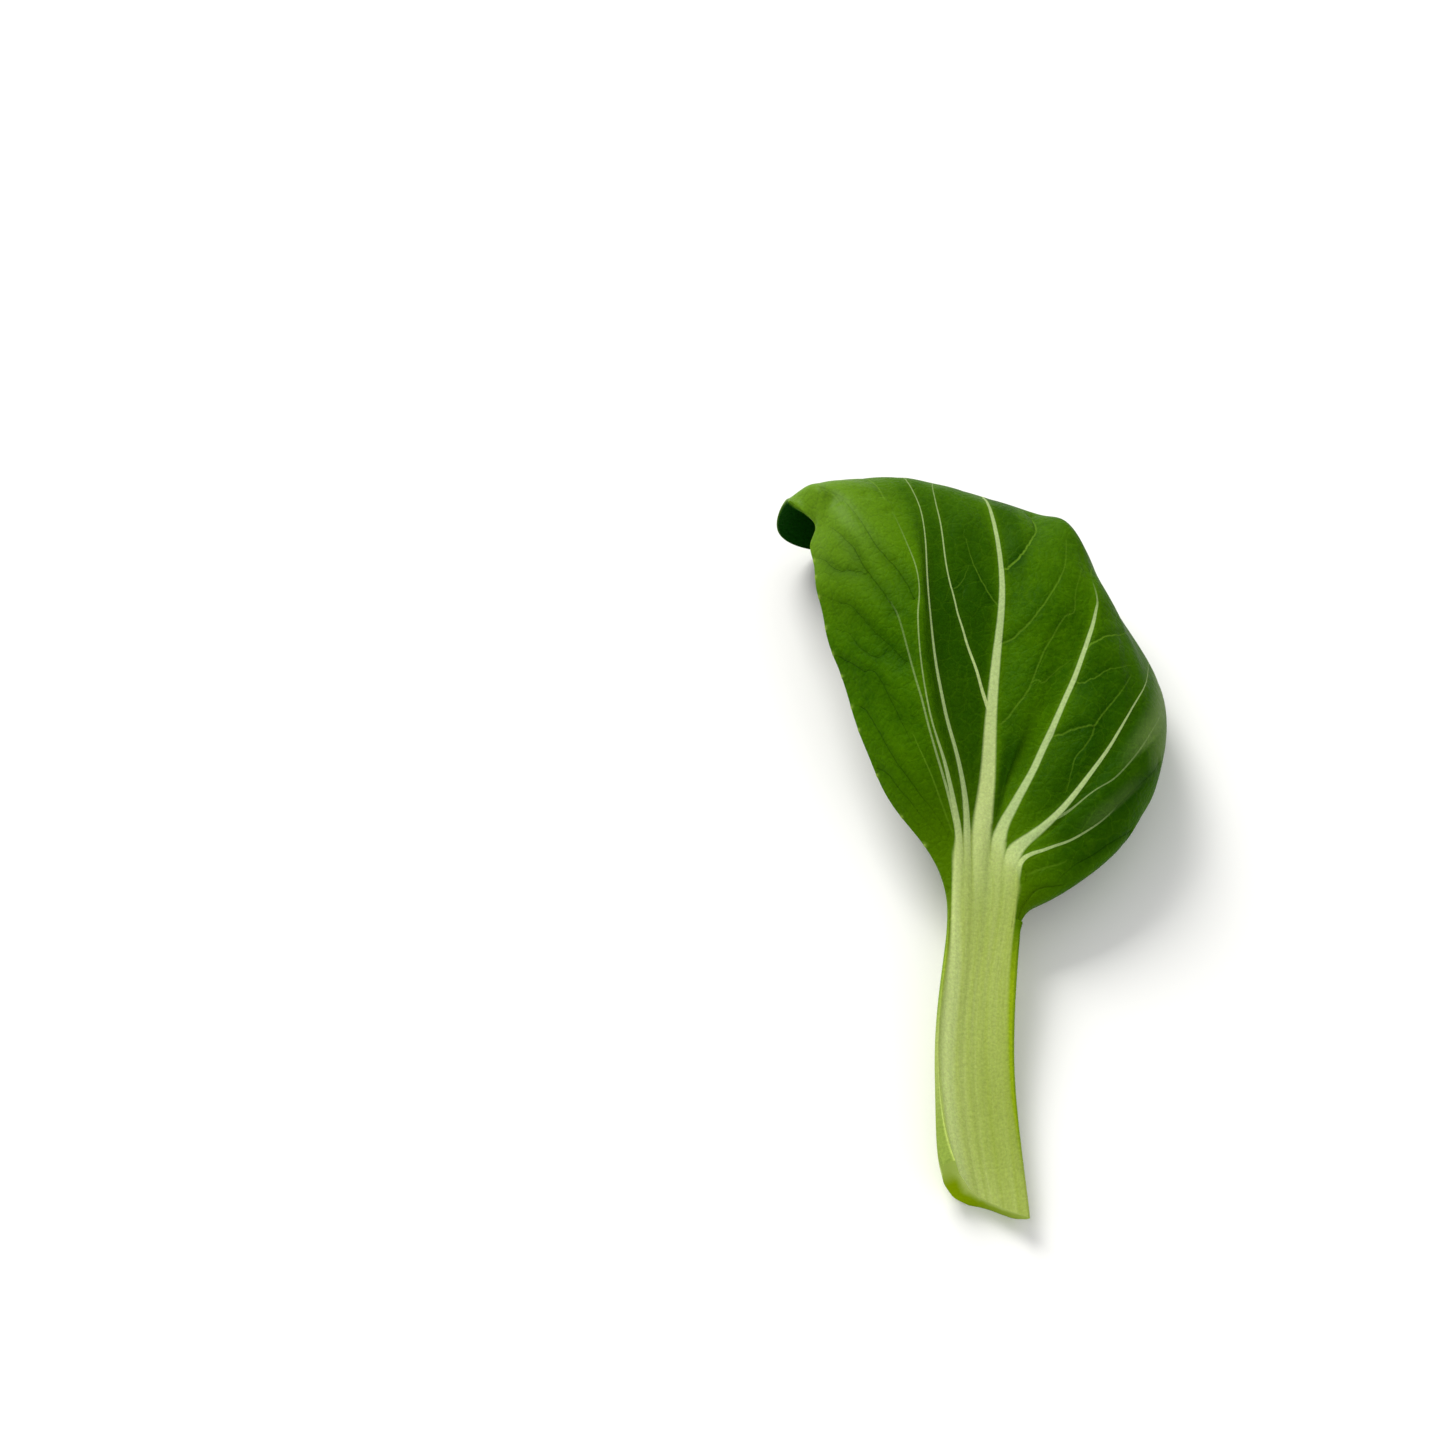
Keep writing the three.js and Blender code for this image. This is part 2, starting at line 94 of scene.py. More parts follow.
# The strands of the blade, from the left margin to the right: the place of each
# across the leaf, and its path from the top of the stalk to the margin.
STRANDS = [
    (0.0, [  # left margin
        [-6, 67.5, 12.6], [-9, 76.5, 13.5], [-16.5, 87, 15.5], [-22, 99.5, 18.5],
        [-27.5, 117.5, 21.5], [-31, 131.5, 24], [-32.5, 142, 25], [-33, 148, 25.2],
        [-32.2, 152, 27], [-37.2, 156.3, 29]]),
    (0.7, [  # left lobe
        [-5.4, 67.7, 12.8], [-7.2, 76.8, 14.4], [-14, 87, 19], [-18.5, 99, 22.5],
        [-23, 116, 26], [-26, 131, 28.5], [-28.5, 144, 29.5], [-29, 153, 30.5],
        [-32.5, 158.5, 31], [-38.3, 160.7, 23]]),
    (1.5, [  # left flap
        [-4.7, 68, 13], [-5.5, 77.5, 15.3], [-10, 88, 21.5], [-14, 99, 26],
        [-17, 115.5, 30], [-19.5, 132, 32.2], [-22, 146.5, 32.5], [-27, 159, 30.5],
        [-33.5, 164, 22], [-39.3, 162.2, 10.5]]),
    (2.4, [  # fold rib
        [-3.6, 68, 13], [-3.8, 79, 16.3], [-6.5, 91, 23.6], [-9, 101, 28],
        [-10.5, 118.5, 31.8], [-11, 135, 33], [-14.5, 150, 31.5], [-19.5, 162, 28],
        [-26, 169.4, 15.3], [-28, 165.5, 0]]),
    (3.3, [  # left rib
        [-2.1, 68, 12.9], [-1.8, 78, 15.2], [-2.5, 92.5, 21], [-5, 104, 25.2],
        [-7, 121, 29.5], [-8, 138.5, 31.5], [-9.5, 153, 30.5], [-13, 163.6, 27],
        [-14.5, 170, 15], [-15, 168, 0.5]]),
    (5.0, [  # midrib
        [1.5, 68.5, 12.5], [1.5, 78.5, 15], [3, 91, 18], [4, 103.5, 22],
        [6, 121, 26], [7.5, 137, 28.5], [6.5, 151, 28], [5, 159, 25.5],
        [3.5, 167.5, 14], [3, 165.5, 2]]),
    (6.4, [  # top panel
        [3.5, 68.5, 12.5], [4, 79, 14.5], [6, 89.5, 17.5], [9.5, 100.5, 22],
        [14.5, 117.5, 26.5], [17.5, 132.5, 29], [18.5, 145, 28], [18, 155, 25],
        [18, 161, 13], [17.5, 159, 2.5]]),
    (7.6, [  # first right rib
        [5.5, 68, 13], [6, 77.5, 15], [8.5, 89, 18], [15.5, 101, 22.5],
        [22, 115, 26], [26.5, 128.5, 27], [26.2, 139, 26.3], [25.7, 147.5, 23.4],
        [25, 151.5, 12], [24.5, 149, 3]]),
    (8.1, [  # right panel
        [6, 67.5, 13], [6.8, 76.3, 15], [11, 85, 18], [18.5, 94.5, 22.3],
        [25.5, 106.5, 25.3], [30, 118.5, 25.3], [31.5, 128.5, 23.2],
        [31, 138, 17.8], [31, 142.5, 9.5], [30, 142, 2]]),
    (8.6, [  # second right rib
        [6.5, 67, 13], [7.5, 75, 15], [13.5, 80.5, 17.5], [21, 88, 21],
        [28.5, 97.5, 23.5], [34, 108.5, 23], [36.7, 119, 19.5],
        [36.9, 130, 12.5], [36.5, 132.5, 6.5], [35.2, 133.5, 1.5]]),
    (9.2, [  # third right rib
        [7.4, 66.2, 13.4], [8.5, 73.5, 15], [14, 78.5, 17.5], [22, 84.5, 20.5],
        [29, 90.5, 22.5], [35.5, 98, 21.5], [40.4, 107, 17], [41.4, 118, 11],
        [40, 120.5, 5.5], [38, 121.5, 0]]),
    (9.9, [  # fourth right rib
        [8, 65, 13.4], [9.5, 70.5, 14.8], [15, 75, 17], [22.5, 78.5, 19],
        [30, 84, 20], [35.8, 90.5, 18.5], [39.1, 96, 14.5], [40.1, 104.5, 9.5],
        [38.5, 107.5, 5], [37, 109, 0]]),
    (10.7, [  # right belly
        [8.8, 63.5, 13], [11.5, 65.8, 13.5], [17.5, 68.5, 14], [25, 73.5, 14],
        [31.5, 80.5, 13], [34.8, 87.5, 10], [36.2, 91.5, 7.2], [36.8, 94.5, 4.7],
        [36.8, 97, 2.4], [36, 99, 0.4]]),
    (11.5, [  # right margin
        [9.4, 61.5, 11.6], [11.2, 65.6, 9.3], [14.6, 69.2, 6.5], [19, 74, 4.3],
        [23, 78.2, 3], [26, 82, 2.2], [28.2, 85.8, 1.6], [29.7, 89, 1.2],
        [30.5, 92, 1], [31, 94.5, 0.8]]),
]
PLACES_ACROSS = np.array([across for across, path in STRANDS])
RIGHT_EDGE = PLACES_ACROSS[-1]

# The ribs of the solid: the places (along, across) that each runs through, where
# it starts and fades out along the leaf, the depth of its valley on the inner
# face (below zero for a ridge), and how high and wide it stands out of the back.
SOLID_RIBS = [
    ([(66, 3.2), (75, 3), (84, 2.55), (96, 2.4), (112, 2.33), (162, 2.35)],
     78, 150, -0.3, 0.5, 1.6),  # fold rib
    ([(66, 3.9), (78, 3.45), (88, 3.27), (104, 3.2), (120, 3.18), (137, 3.3), (162, 3.4)],
     76, 150, 0.7, 0.7, 1.7),  # left rib
    ([(66, 5.15), (80, 5.12), (92, 5.02), (112, 5), (162, 5)],
     76, 156, 0.8, 1.8, 2.2),  # midrib
    ([(100, 4.88), (106, 4.46), (113, 4.12), (124, 3.84), (136, 3.77), (147, 4)],
     103, 158, 0.5, 0.3, 1.5),  # left branch
    ([(66, 6.45), (74, 6.8), (80, 7.35), (86, 7.62), (100, 7.6), (162, 7.6)],
     74, 146, 0.8, 1.1, 1.9),  # first right rib
    ([(66, 9.05), (76, 8.8), (86, 8.54), (100, 8.6), (162, 8.6)],
     76, 130, 0.7, 0.8, 1.8),  # second right rib
    ([(90, 8.74), (95, 9), (101, 9.13), (110, 9.2), (162, 9.2)],
     92, 124, 0.3, 0.4, 1.6),  # third right rib
    ([(66, 9.1), (75, 9.38), (84, 9.74), (94, 9.9), (112, 9.86), (162, 9.86)],
     76, 116, 0.6, 0.5, 1.7),  # fourth right rib
]

RIB_VALLEY_WIDTH = 3.2
RIB_VALLEY_RISE = 22
RIB_VALLEY_FADE = 30
RIB_BACK_STARTS_BEFORE = 20
RIB_BACK_FULL_AFTER = 5
RIB_BACK_TAPER = 0.85

# Spots where the leaf bends so tightly that it is thinner: the place along and
# across, the reach each way, and the share of the thickness that is lost.
THIN_SPOTS = [
    (72, 2.0, 14, 1.3, 0.6),
    (64, 0.6, 12, 1.0, 0.5),
    (73, 10.6, 8, 0.9, 0.45),
    (147, 0.2, 9, 0.9, 0.33),
]


def soft_step(start, end, place):
    """A step from 0 to 1 between two places: 3t^2 - 2t^3 of the clamped share t."""
    t = np.clip((place - start) / (end - start), 0.0, 1.0)
    return t * t * (3.0 - 2.0 * t)


def bell(distance, width):
    """A bell that is 1 on a line and falls off as e^-(distance/width)^2."""
    return np.exp(-((distance / width) ** 2))


def spline(knots, points, places):
    """A natural cubic spline through points at rising knots, read at places.

    The bends (second derivatives) at the inner knots solve the usual system of
    three neighbours; between two knots the value is the straight mix of their
    points plus the mix of their bends, each weighted by t^3 - t.
    """
    gaps = np.diff(knots)
    system = np.eye(len(knots))
    pull = np.zeros(points.shape)
    for i in range(1, len(knots) - 1):
        system[i, i - 1:i + 2] = gaps[i - 1] / 6, (gaps[i - 1] + gaps[i]) / 3, gaps[i] / 6
        pull[i] = (points[i + 1] - points[i]) / gaps[i] - (points[i] - points[i - 1]) / gaps[i - 1]
    bends = np.linalg.solve(system, pull.reshape(len(knots), -1)).reshape(points.shape)
    i = np.clip(np.searchsorted(knots, places, side="left") - 1, 0, len(knots) - 2)
    column = (len(places),) + (1,) * (points.ndim - 1)
    gap = gaps[i].reshape(column)
    before = ((knots[i + 1] - places).reshape(column)) / gap
    after = 1.0 - before
    straight = before * points[i] + after * points[i + 1]
    bent = (before ** 3 - before) * bends[i] + (after ** 3 - after) * bends[i + 1]
    return straight + bent * gap ** 2 / 6.0


def stalk_points(section):
    """The channel at one stalk place: a floor that rises to a wall on each side.

    Each wall's height grows with a power of the distance from the middle, and
    the cut slants across the channel and leans back up the left wall.
    """
    floor, half_width, left_wall, right_wall, slant, lean = section
    side = 2.0 * PLACES_ACROSS / RIGHT_EDGE - 1.0
    reach = np.abs(side)
    left = side < 0
    wall = np.where(left, left_wall * reach ** LEFT_WALL_CURVE, right_wall * reach ** RIGHT_WALL_CURVE)
    leaning = np.where(left, lean * reach ** LEAN_CURVE, 0.0)
    x = floor[0] + half_width * side
    y = floor[1] - slant * side + leaning
    return np.stack([x, y, floor[2] + wall], axis=1)


def strand_net():
    """Every strand's points: places along x places across x 3."""
    stalk = np.array([stalk_points(section) for section in STALK_SECTIONS])
    blade = np.array([path for _, path in STRANDS], float).transpose(1, 0, 2)
    return np.concatenate([stalk, blade])


NET = strand_net()


def smooth_surface(along, across):
    """The leaf's smooth inner face: splines along the strands, then across them."""
    lines = spline(PLACES_ALONG, NET, along)
    return spline(PLACES_ACROSS, lines.transpose(1, 0, 2), across).transpose(1, 0, 2)


def smooth_place(along, across):
    """Points of the smooth inner face at matching lists of places."""
    lines = spline(PLACES_ALONG, NET, along)
    points = [spline(PLACES_ACROSS, line, np.array([place]))[0] for line, place in zip(lines, across)]
    return np.array(points)

# ------------------------------------------------------ ribs and fine veins

# Main ribs: the places (along, across) that each runs through, its half width
# in mm from foot to end, how pale it is from foot to end, and the channel of
# the rib maps that it is kept in, so that neighbours never share one.
MAIN_RIBS = {
    "midrib": (
        [(50, 5.3), (60, 5.15), (68, 5.02), (75, 4.95), (80, 4.95), (90, 4.96), (102, 4.98), (113, 4.98),
         (122, 4.97), (135, 4.97), (150, 5.0), (160, 5.05)],
        [2.2, 2.3, 2.3, 2.15, 1.95, 1.42, 1.05, 0.76, 0.62, 0.44, 0.28, 0.16],
        [0.0, 0.5, 0.8, 1.0, 1.0, 1.0, 1.0, 1.0, 1.0, 0.95, 0.7, 0.1], 0),
    "left rib": (
        [(56, 3.9), (65, 3.6), (72, 3.45), (76, 3.42), (82, 3.34), (88, 3.25), (100, 3.25), (107, 3.18),
         (117, 3.16), (125, 3.2), (133, 3.25), (139, 3.33), (149, 3.4), (159, 3.55)],
        [0.9, 1.0, 0.95, 0.88, 0.72, 0.6, 0.46, 0.39, 0.26, 0.2, 0.15, 0.13, 0.12, 0.12],
        [0.0, 0.5, 0.8, 1.0, 1.0, 1.0, 1.0, 1.0, 1.0, 0.9, 0.7, 0.6, 0.4, 0.05], 1),
    "fold rib": (
        [(54, 2.75), (64, 2.72), (70, 2.72), (75, 2.68), (79, 2.6), (84, 2.56), (89, 2.52), (95, 2.44),
         (104, 2.35), (111, 2.31), (117, 2.31), (121, 2.39), (127, 2.38), (132, 2.32), (139, 2.33)],
        [1.2, 1.2, 1.0, 0.8, 0.66, 0.5, 0.36, 0.22, 0.16, 0.15, 0.16, 0.14, 0.14, 0.13, 0.12],
        [0.0, 0.5, 0.8, 1.0, 1.0, 1.0, 0.9, 0.7, 0.55, 0.5, 0.6, 0.45, 0.4, 0.2, 0.0], 2),
    "flap rib": (
        [(72, 2.7), (78, 2.42), (87, 2.3), (93, 2.28), (100, 2.22), (104, 2.13), (108, 2.02), (113, 1.91),
         (118, 1.82), (121, 1.72)],
        [0.4, 0.32, 0.25, 0.2, 0.2, 0.2, 0.2, 0.2, 0.2, 0.2],
        [0.9, 0.8, 0.6, 0.5, 0.45, 0.35, 0.3, 0.25, 0.15, 0.05], 0),
    "left branch": (
        [(100, 4.88), (103, 4.63), (106, 4.46), (110, 4.24), (113, 4.12), (116, 4.01), (119, 3.95),
         (124, 3.84), (130, 3.78), (136, 3.77), (140, 3.83), (147, 4.0)],
        [0.4, 0.36, 0.32, 0.27, 0.23, 0.2, 0.18, 0.17, 0.16, 0.15, 0.13, 0.12],
        [1.0, 1.0, 1.0, 0.95, 0.9, 0.85, 0.85, 0.8, 0.75, 0.65, 0.5, 0.35], 2),
    "first right rib": (
        [(54, 6.7), (64, 6.72), (70, 6.78), (75.3, 6.98), (78, 7.28), (81, 7.6), (85, 7.76), (91, 7.76),
         (96, 7.67), (104, 7.62), (111, 7.63), (119, 7.6), (127, 7.63), (130, 7.66), (134, 7.6)],
        [1.7, 1.8, 1.8, 1.6, 1.35, 1.2, 1.0, 0.82, 0.73, 0.62, 0.54, 0.46, 0.3, 0.2, 0.15],
        [0.0, 0.5, 0.8, 1.0, 1.0, 1.0, 1.0, 1.0, 1.0, 1.0, 1.0, 0.95, 0.75, 0.5, 0.1], 1),
    "second right rib": (
        [(52, 8.6), (62, 8.6), (70, 8.65), (75, 8.62), (79, 8.64), (82, 8.64), (87, 8.63), (93, 8.65),
         (99, 8.64), (104, 8.62), (110, 8.61), (116, 8.6), (123, 8.61), (130, 8.64), (139, 8.7), (149, 8.85)],
        [1.6, 1.9, 2.0, 1.9, 1.45, 1.1, 0.8, 0.64, 0.52, 0.42, 0.34, 0.26, 0.18, 0.14, 0.12, 0.1],
        [0.0, 0.4, 0.8, 1.0, 1.0, 1.0, 1.0, 1.0, 1.0, 1.0, 0.95, 0.9, 0.85, 0.7, 0.45, 0.05], 2),
    "third right rib": (
        [(87, 8.58), (90, 8.72), (95, 8.95), (100, 9.07), (106, 9.2), (112.5, 9.28), (122.5, 9.21),
         (130, 9.09), (137, 9.07)],
        [0.3, 0.26, 0.22, 0.18, 0.17, 0.17, 0.16, 0.15, 0.15],
        [0.55, 0.5, 0.45, 0.4, 0.34, 0.28, 0.22, 0.16, 0.05], 0),
    "fourth right rib": (
        [(68, 9.4), (73, 9.4), (76, 9.42), (80, 9.58), (84, 9.76), (87, 9.83), (92, 9.9), (98, 9.9),
         (104, 9.89), (110, 9.85)],
        [1.0, 1.0, 0.75, 0.46, 0.36, 0.31, 0.26, 0.21, 0.17, 0.15],
        [0.0, 0.6, 1.0, 0.9, 0.85, 0.75, 0.65, 0.5, 0.35, 0.05], 1),
}

# Fine veins: the places that each runs through, its half width in mm, how pale
# it is (below zero for a crease darkened with painted shade), how deep it lies in
# mm from start to end, and its channel of the vein maps.
FINE_VEINS = [
    ([(127.3, 5.0), (129.1, 5.22), (131.1, 5.42), (133.3, 5.58), (135.6, 5.71), (138.3, 5.85), (142, 5.99),
      (147, 5.95)],
     0.26, 0.62, (0.35, 1.3), 0),
    ([(134.5, 9.64), (130, 9.73), (124, 9.81), (117, 9.83), (111, 9.85), (105.5, 9.89), (101, 9.9)],
     0.12, -0.38, (0.43, 0.22), 0),
    ([(75.2, 2.16), (78.2, 1.95), (82, 1.86), (87, 1.84), (92, 1.77), (96, 1.7)], 0.2, 0.4, (-0.1, -0.05), 1),
    ([(112.3, 5.05), (113.8, 5.34), (117, 5.71), (121.1, 6.09), (126, 6.42), (129.5, 6.62), (132.9, 6.77),
      (139, 6.9)],
     0.24, 0.34, (0.42, 0.23), 0),
    ([(98.5, 5.3), (100.3, 5.61), (103.5, 6.0), (105.3, 6.22), (107.1, 6.33), (111.8, 6.46), (115.1, 6.66),
      (118.6, 6.83), (120.5, 6.99), (121.6, 7.12), (126, 7.08), (131.5, 7.23), (134, 7.32)],
     0.22, 0.28, (0.35, 0.2), 0),
    ([(116.3, 7.62), (119, 7.69), (120.8, 7.76), (124.4, 7.86), (129.3, 8.0), (135.3, 8.17), (140, 8.3)],
     0.24, 0.45, (0.38, 0.22), 0),
    ([(109.4, 7.64), (111.2, 7.81), (113.1, 7.87), (116, 7.97), (120.4, 8.07), (124.7, 8.2), (131, 8.36)],
     0.2, 0.3, (0.32, 0.18), 0),
    ([(97.6, 7.62), (99.6, 7.83), (101.9, 7.94), (104.1, 8.04), (106.5, 8.14), (108.7, 8.24), (110.6, 8.25),
      (116, 8.3), (119.5, 8.34), (123.8, 8.38), (129, 8.42)],
     0.24, 0.34, (0.38, 0.22), 0),
    ([(108.5, 8.24), (106.9, 8.28), (103, 8.27), (100.4, 8.25), (98, 8.34), (95.3, 8.46)],
     0.2, 0.25, (0.32, 0.18), 1),
    ([(107, 6.33), (107.6, 6.47), (106.7, 6.75), (106.6, 6.9), (107.6, 7.03), (109.3, 7.2), (112, 7.42)],
     0.18, 0.22, (0.26, 0.14), 1),
    ([(119.3, 4.9), (121.5, 4.68), (123.7, 4.53), (125.8, 4.43), (128, 4.35), (131, 4.28)],
     0.17, 0.34, (0.26, 0.14), 0),
    ([(120.6, 3.93), (122, 4.1), (123.6, 4.2), (126, 4.3)],
     0.15, 0.2, (0.19, 0.11), 1),
    ([(76, 9.95), (78, 10.05), (82, 10.14), (86, 10.22), (89, 10.25)], 0.3, 0.28, (0.32, 0.18), 0),
    ([(115.5, 10.65), (109, 10.5), (103, 10.4), (97, 10.4), (91, 10.4), (86, 10.5)],
     0.18, -0.6, (0.5, 0.2), 0),
    ([(108, 2.02), (111, 1.7), (112.8, 1.57), (114.6, 1.43), (116.4, 1.27), (118.3, 1.14), (120.5, 1.01),
      (122.4, 0.89), (123.9, 0.79), (125.1, 0.58), (126.6, 0.38), (128.4, 0.12)],
     0.12, -0.34, (0.58, 0.36), 0),
    ([(117.4, 1.82), (121, 1.71), (125, 1.55), (128.5, 1.38), (131, 1.27), (133.9, 1.19), (136.2, 1.06),
      (138.6, 0.9), (141, 0.7)],
     0.12, -0.46, (0.47, 0.31), 0),
    ([(128.5, 1.38), (129.6, 1.19), (130.5, 1.0), (131.7, 0.7), (133.7, 0.51), (137, 0.25), (138.5, 0.08)],
     0.12, -0.38, (0.52, 0.34), 1),
    ([(114.5, 0.08), (112, 0.47), (110.1, 0.78), (109.5, 1.03), (105, 1.23), (101.1, 1.36), (97.9, 1.47),
      (95, 1.56)],
     0.12, -0.49, (0.4, 0.26), 0),
    ([(113.4, 1.5), (112, 1.21), (112.9, 1.0), (114.6, 0.79), (116.6, 0.66), (118.5, 0.54), (120, 0.27)],
     0.12, -0.38, (0.4, 0.26), 1),
    ([(105, 0.22), (103.3, 0.43), (100.7, 0.56), (99, 0.65), (95.4, 0.78), (91.5, 0.94), (88.5, 1.08),
      (85.2, 1.19), (82.1, 1.35), (79, 1.52), (75, 1.75)],
     0.12, -0.5, (0.34, 0.22), 0),
    ([(93.8, 0.05), (92.2, 0.36), (89.7, 0.52), (87.2, 0.62), (84.8, 0.74), (81.8, 0.8), (78, 1.0)],
     0.12, -0.49, (0.29, 0.19), 1),
    ([(119.5, 2.25), (121.2, 2.18), (125, 2.05), (128.8, 1.88), (131.9, 1.7), (135, 1.58), (138.3, 1.5),
      (143, 1.36)],
     0.12, -0.5, (0.37, 0.24), 1),
    # The next ones run on over the rolled top.
    ([(141, 2.3), (146, 2.42), (151, 2.52), (157, 2.6), (161, 2.65)], 0.2, 0.34, (0.22, 0.11), 0),
    ([(146, 2.42), (149.5, 1.95), (152.5, 1.7), (157, 1.5)], 0.17, 0.28, (0.19, 0.09), 1),
    ([(151, 2.52), (154, 2.2), (158, 2.05)], 0.16, 0.24, (0.1, 0.05), 1),
    ([(143, 1.2), (147, 1.1), (151, 0.8), (155, 0.62)], 0.18, 0.28, (0.22, 0.09), 0),
    ([(148, 3.4), (151.5, 3.08), (156, 2.95), (160, 2.95)], 0.17, 0.26, (0.19, 0.09), 0),
    ([(149, 3.4), (152, 3.75), (156, 4.0), (160, 4.1)], 0.17, 0.26, (0.19, 0.09), 0),
    ([(150, 5.0), (153, 5.45), (157, 5.7), (160.5, 5.8)], 0.18, 0.3, (0.19, 0.09), 1),
    ([(147, 4.98), (150, 4.6), (154, 4.35), (159, 4.3)], 0.18, 0.3, (0.19, 0.09), 1),
    ([(137, 7.62), (143, 7.75), (149, 7.95), (156, 8.1)], 0.2, 0.34, (0.19, 0.09), 1),
    ([(143, 7.75), (148, 7.4), (154, 7.2), (159, 7.15)], 0.17, 0.26, (0.19, 0.09), 0),
    ([(141, 8.75), (146, 9.1), (151, 9.5), (156, 9.8)], 0.17, 0.26, (0.19, 0.09), 0),
    # The deep crease where the right margin joins the stalk, dark with painted shade.
    ([(64, 11.3), (67, 11.0), (70, 10.8), (74, 10.6), (77, 10.5), (81, 10.55), (86, 10.7)],
     0.3, -0.9, (0.75, 0.3), 1),
]

# Seams: soft dark grooves that run on down the stalk between the ribs. Places
# run through, depth and width in mm, and how dark each is from start to end.
SEAMS = [
    ([(78, 3.0), (73, 3.1), (66, 2.95), (58, 2.8)], 0.12, 0.26, (0.7, 0.0)),
    ([(81, 3.72), (76, 3.85), (70, 3.95), (60, 3.95)], 0.2, 0.32, (0.9, 0.0)),
    ([(79, 6.15), (75.5, 6.02), (70, 5.9), (61, 5.8)], 0.24, 0.4, (0.95, 0.0)),
    ([(77, 7.72), (73.5, 7.62), (68, 7.5), (59, 7.4)], 0.22, 0.36, (0.85, 0.0)),
    ([(78, 9.3), (74, 9.2), (68, 9.15), (60, 9.1)], 0.14, 0.3, (0.6, 0.0)),
]

# Small dimples near the top of the flap: place along and across, reach and depth in mm.
DIMPLES = [
    (138.5, 2.25, 1.1, 0.4),
    (142.6, 1.95, 1.2, 0.4),
    (146.0, 1.0, 1.4, 0.35),
    (129.2, 1.98, 0.7, 0.25),
]

# Pale dots at the ends of the veins on the left margin: places along the leaf.
MARGIN_DOT_REACH = 0.45
MARGIN_DOT_HEIGHT = 0.12
MARGIN_DOTS = [77.0, 83.5, 92.5, 101.0, 105.0, 110.5, 115.0, 121.0, 128.5, 133.5, 138.5]


# A vein isn't felt across a fold: past this many strands its distance grows fast.
STRANDS_FELT = 1.3
LEAP_PER_STRAND = 20.0
FURTHEST_OFFSET = 9.0
VEIN_SAMPLES = 48
FINE_WIGGLE = 0.09
WIGGLES_PER_PLACE = (5.3, 8.9)


def signed_distance(skin, path, wiggle=0.0):
    """Distance in mm from grid points to a vein, its side as a sign, and the share run.

    The vein's places are joined by a spline over their running number, plus a
    wiggle of two sines in mm along the leaf, and its points are taken from the
    smooth surface. For each grid point the nearest of its short straight pieces
    counts; the side is the sign of the cross product of that piece with the way
    to the grid point, along the surface's normal. A point on a strand far from
    the vein's counts as further off.
    """
    places = np.asarray(path, float)
    number = np.arange(len(places), dtype=float)
    run = np.linspace(0.0, number[-1], VEIN_SAMPLES)
    line = spline(number, places, run)
    slow, fast = WIGGLES_PER_PLACE
    line[:, 0] += wiggle * (np.sin(slow * run + line[0, 0]) + np.sin(fast * run))
    bends = smooth_place(line[:, 0], line[:, 1])
    best = np.full(len(skin.points), np.inf)
    share = np.zeros(len(skin.points))
    side = np.ones(len(skin.points))
    for i in range(VEIN_SAMPLES - 1):
        step = bends[i + 1] - bends[i]
        way = skin.points - bends[i]
        part = np.clip(way @ step / (step @ step), 0.0, 1.0)
        gap = np.linalg.norm(way - part[:, None] * step, axis=1)
        gap = gap + LEAP_PER_STRAND * np.maximum(np.abs(skin.across - line[i, 1]) - STRANDS_FELT, 0.0)
        turn = np.einsum("ij,ij->i", np.cross(way, step), skin.up)
        nearer = gap < best
        best = np.where(nearer, gap, best)
        share = np.where(nearer, (i + part) / (VEIN_SAMPLES - 1), share)
        side = np.where(nearer, np.where(turn < 0, -1.0, 1.0), side)
    return best, side, share


def distance_to_place(skin, along, across):
    """Distance in mm from grid points to one place of the smooth surface."""
    spot = smooth_place(np.array([along]), np.array([across]))[0]
    return np.linalg.norm(skin.points - spot, axis=1)


# The pale stalk: its left and right edge (across) at places along it, and how
# far up the leaf it reaches at places across, before it parts into the ribs.
STALK_LEFT_EDGE = [(0, -0.4), (30, -0.1), (50, 0.35), (60, 0.95), (65, 1.4), (70, 1.8), (75, 2.15), (80, 2.3)]
STALK_RIGHT_EDGE = [
    (0, 11.9), (10, 11.4), (22, 10.9), (35, 10.75), (50, 10.5), (60, 10.35), (66, 9.9), (75, 9.75), (80, 9.6)]
STALK_REACH = [
    (2, 73), (2.7, 76), (3.05, 75.5), (3.5, 77), (4.1, 77), (5, 78), (6.15, 74), (7, 75), (7.7, 71),
    (8.6, 73), (9.4, 73), (10, 72)]
STALK_EDGE_SOFTNESS = 0.42
STALK_REACH_SOFTNESS = 1.3


def stalk_share(along, across):
    """How much of the tissue is pale stalk: soft steps at both of its edges and
    where it parts into the ribs, multiplied."""
    left = np.interp(along, *zip(*STALK_LEFT_EDGE))
    right = np.interp(along, *zip(*STALK_RIGHT_EDGE))
    reach = np.interp(across, *zip(*STALK_REACH))
    inside = soft_step(left - STALK_EDGE_SOFTNESS, left + STALK_EDGE_SOFTNESS, across)
    inside = inside * (1 - soft_step(right - STALK_EDGE_SOFTNESS, right + STALK_EDGE_SOFTNESS, across))
    return inside * (1 - soft_step(reach - STALK_REACH_SOFTNESS, reach + STALK_REACH_SOFTNESS, along))


# ------------------------------------------------------------- relief of the leaf

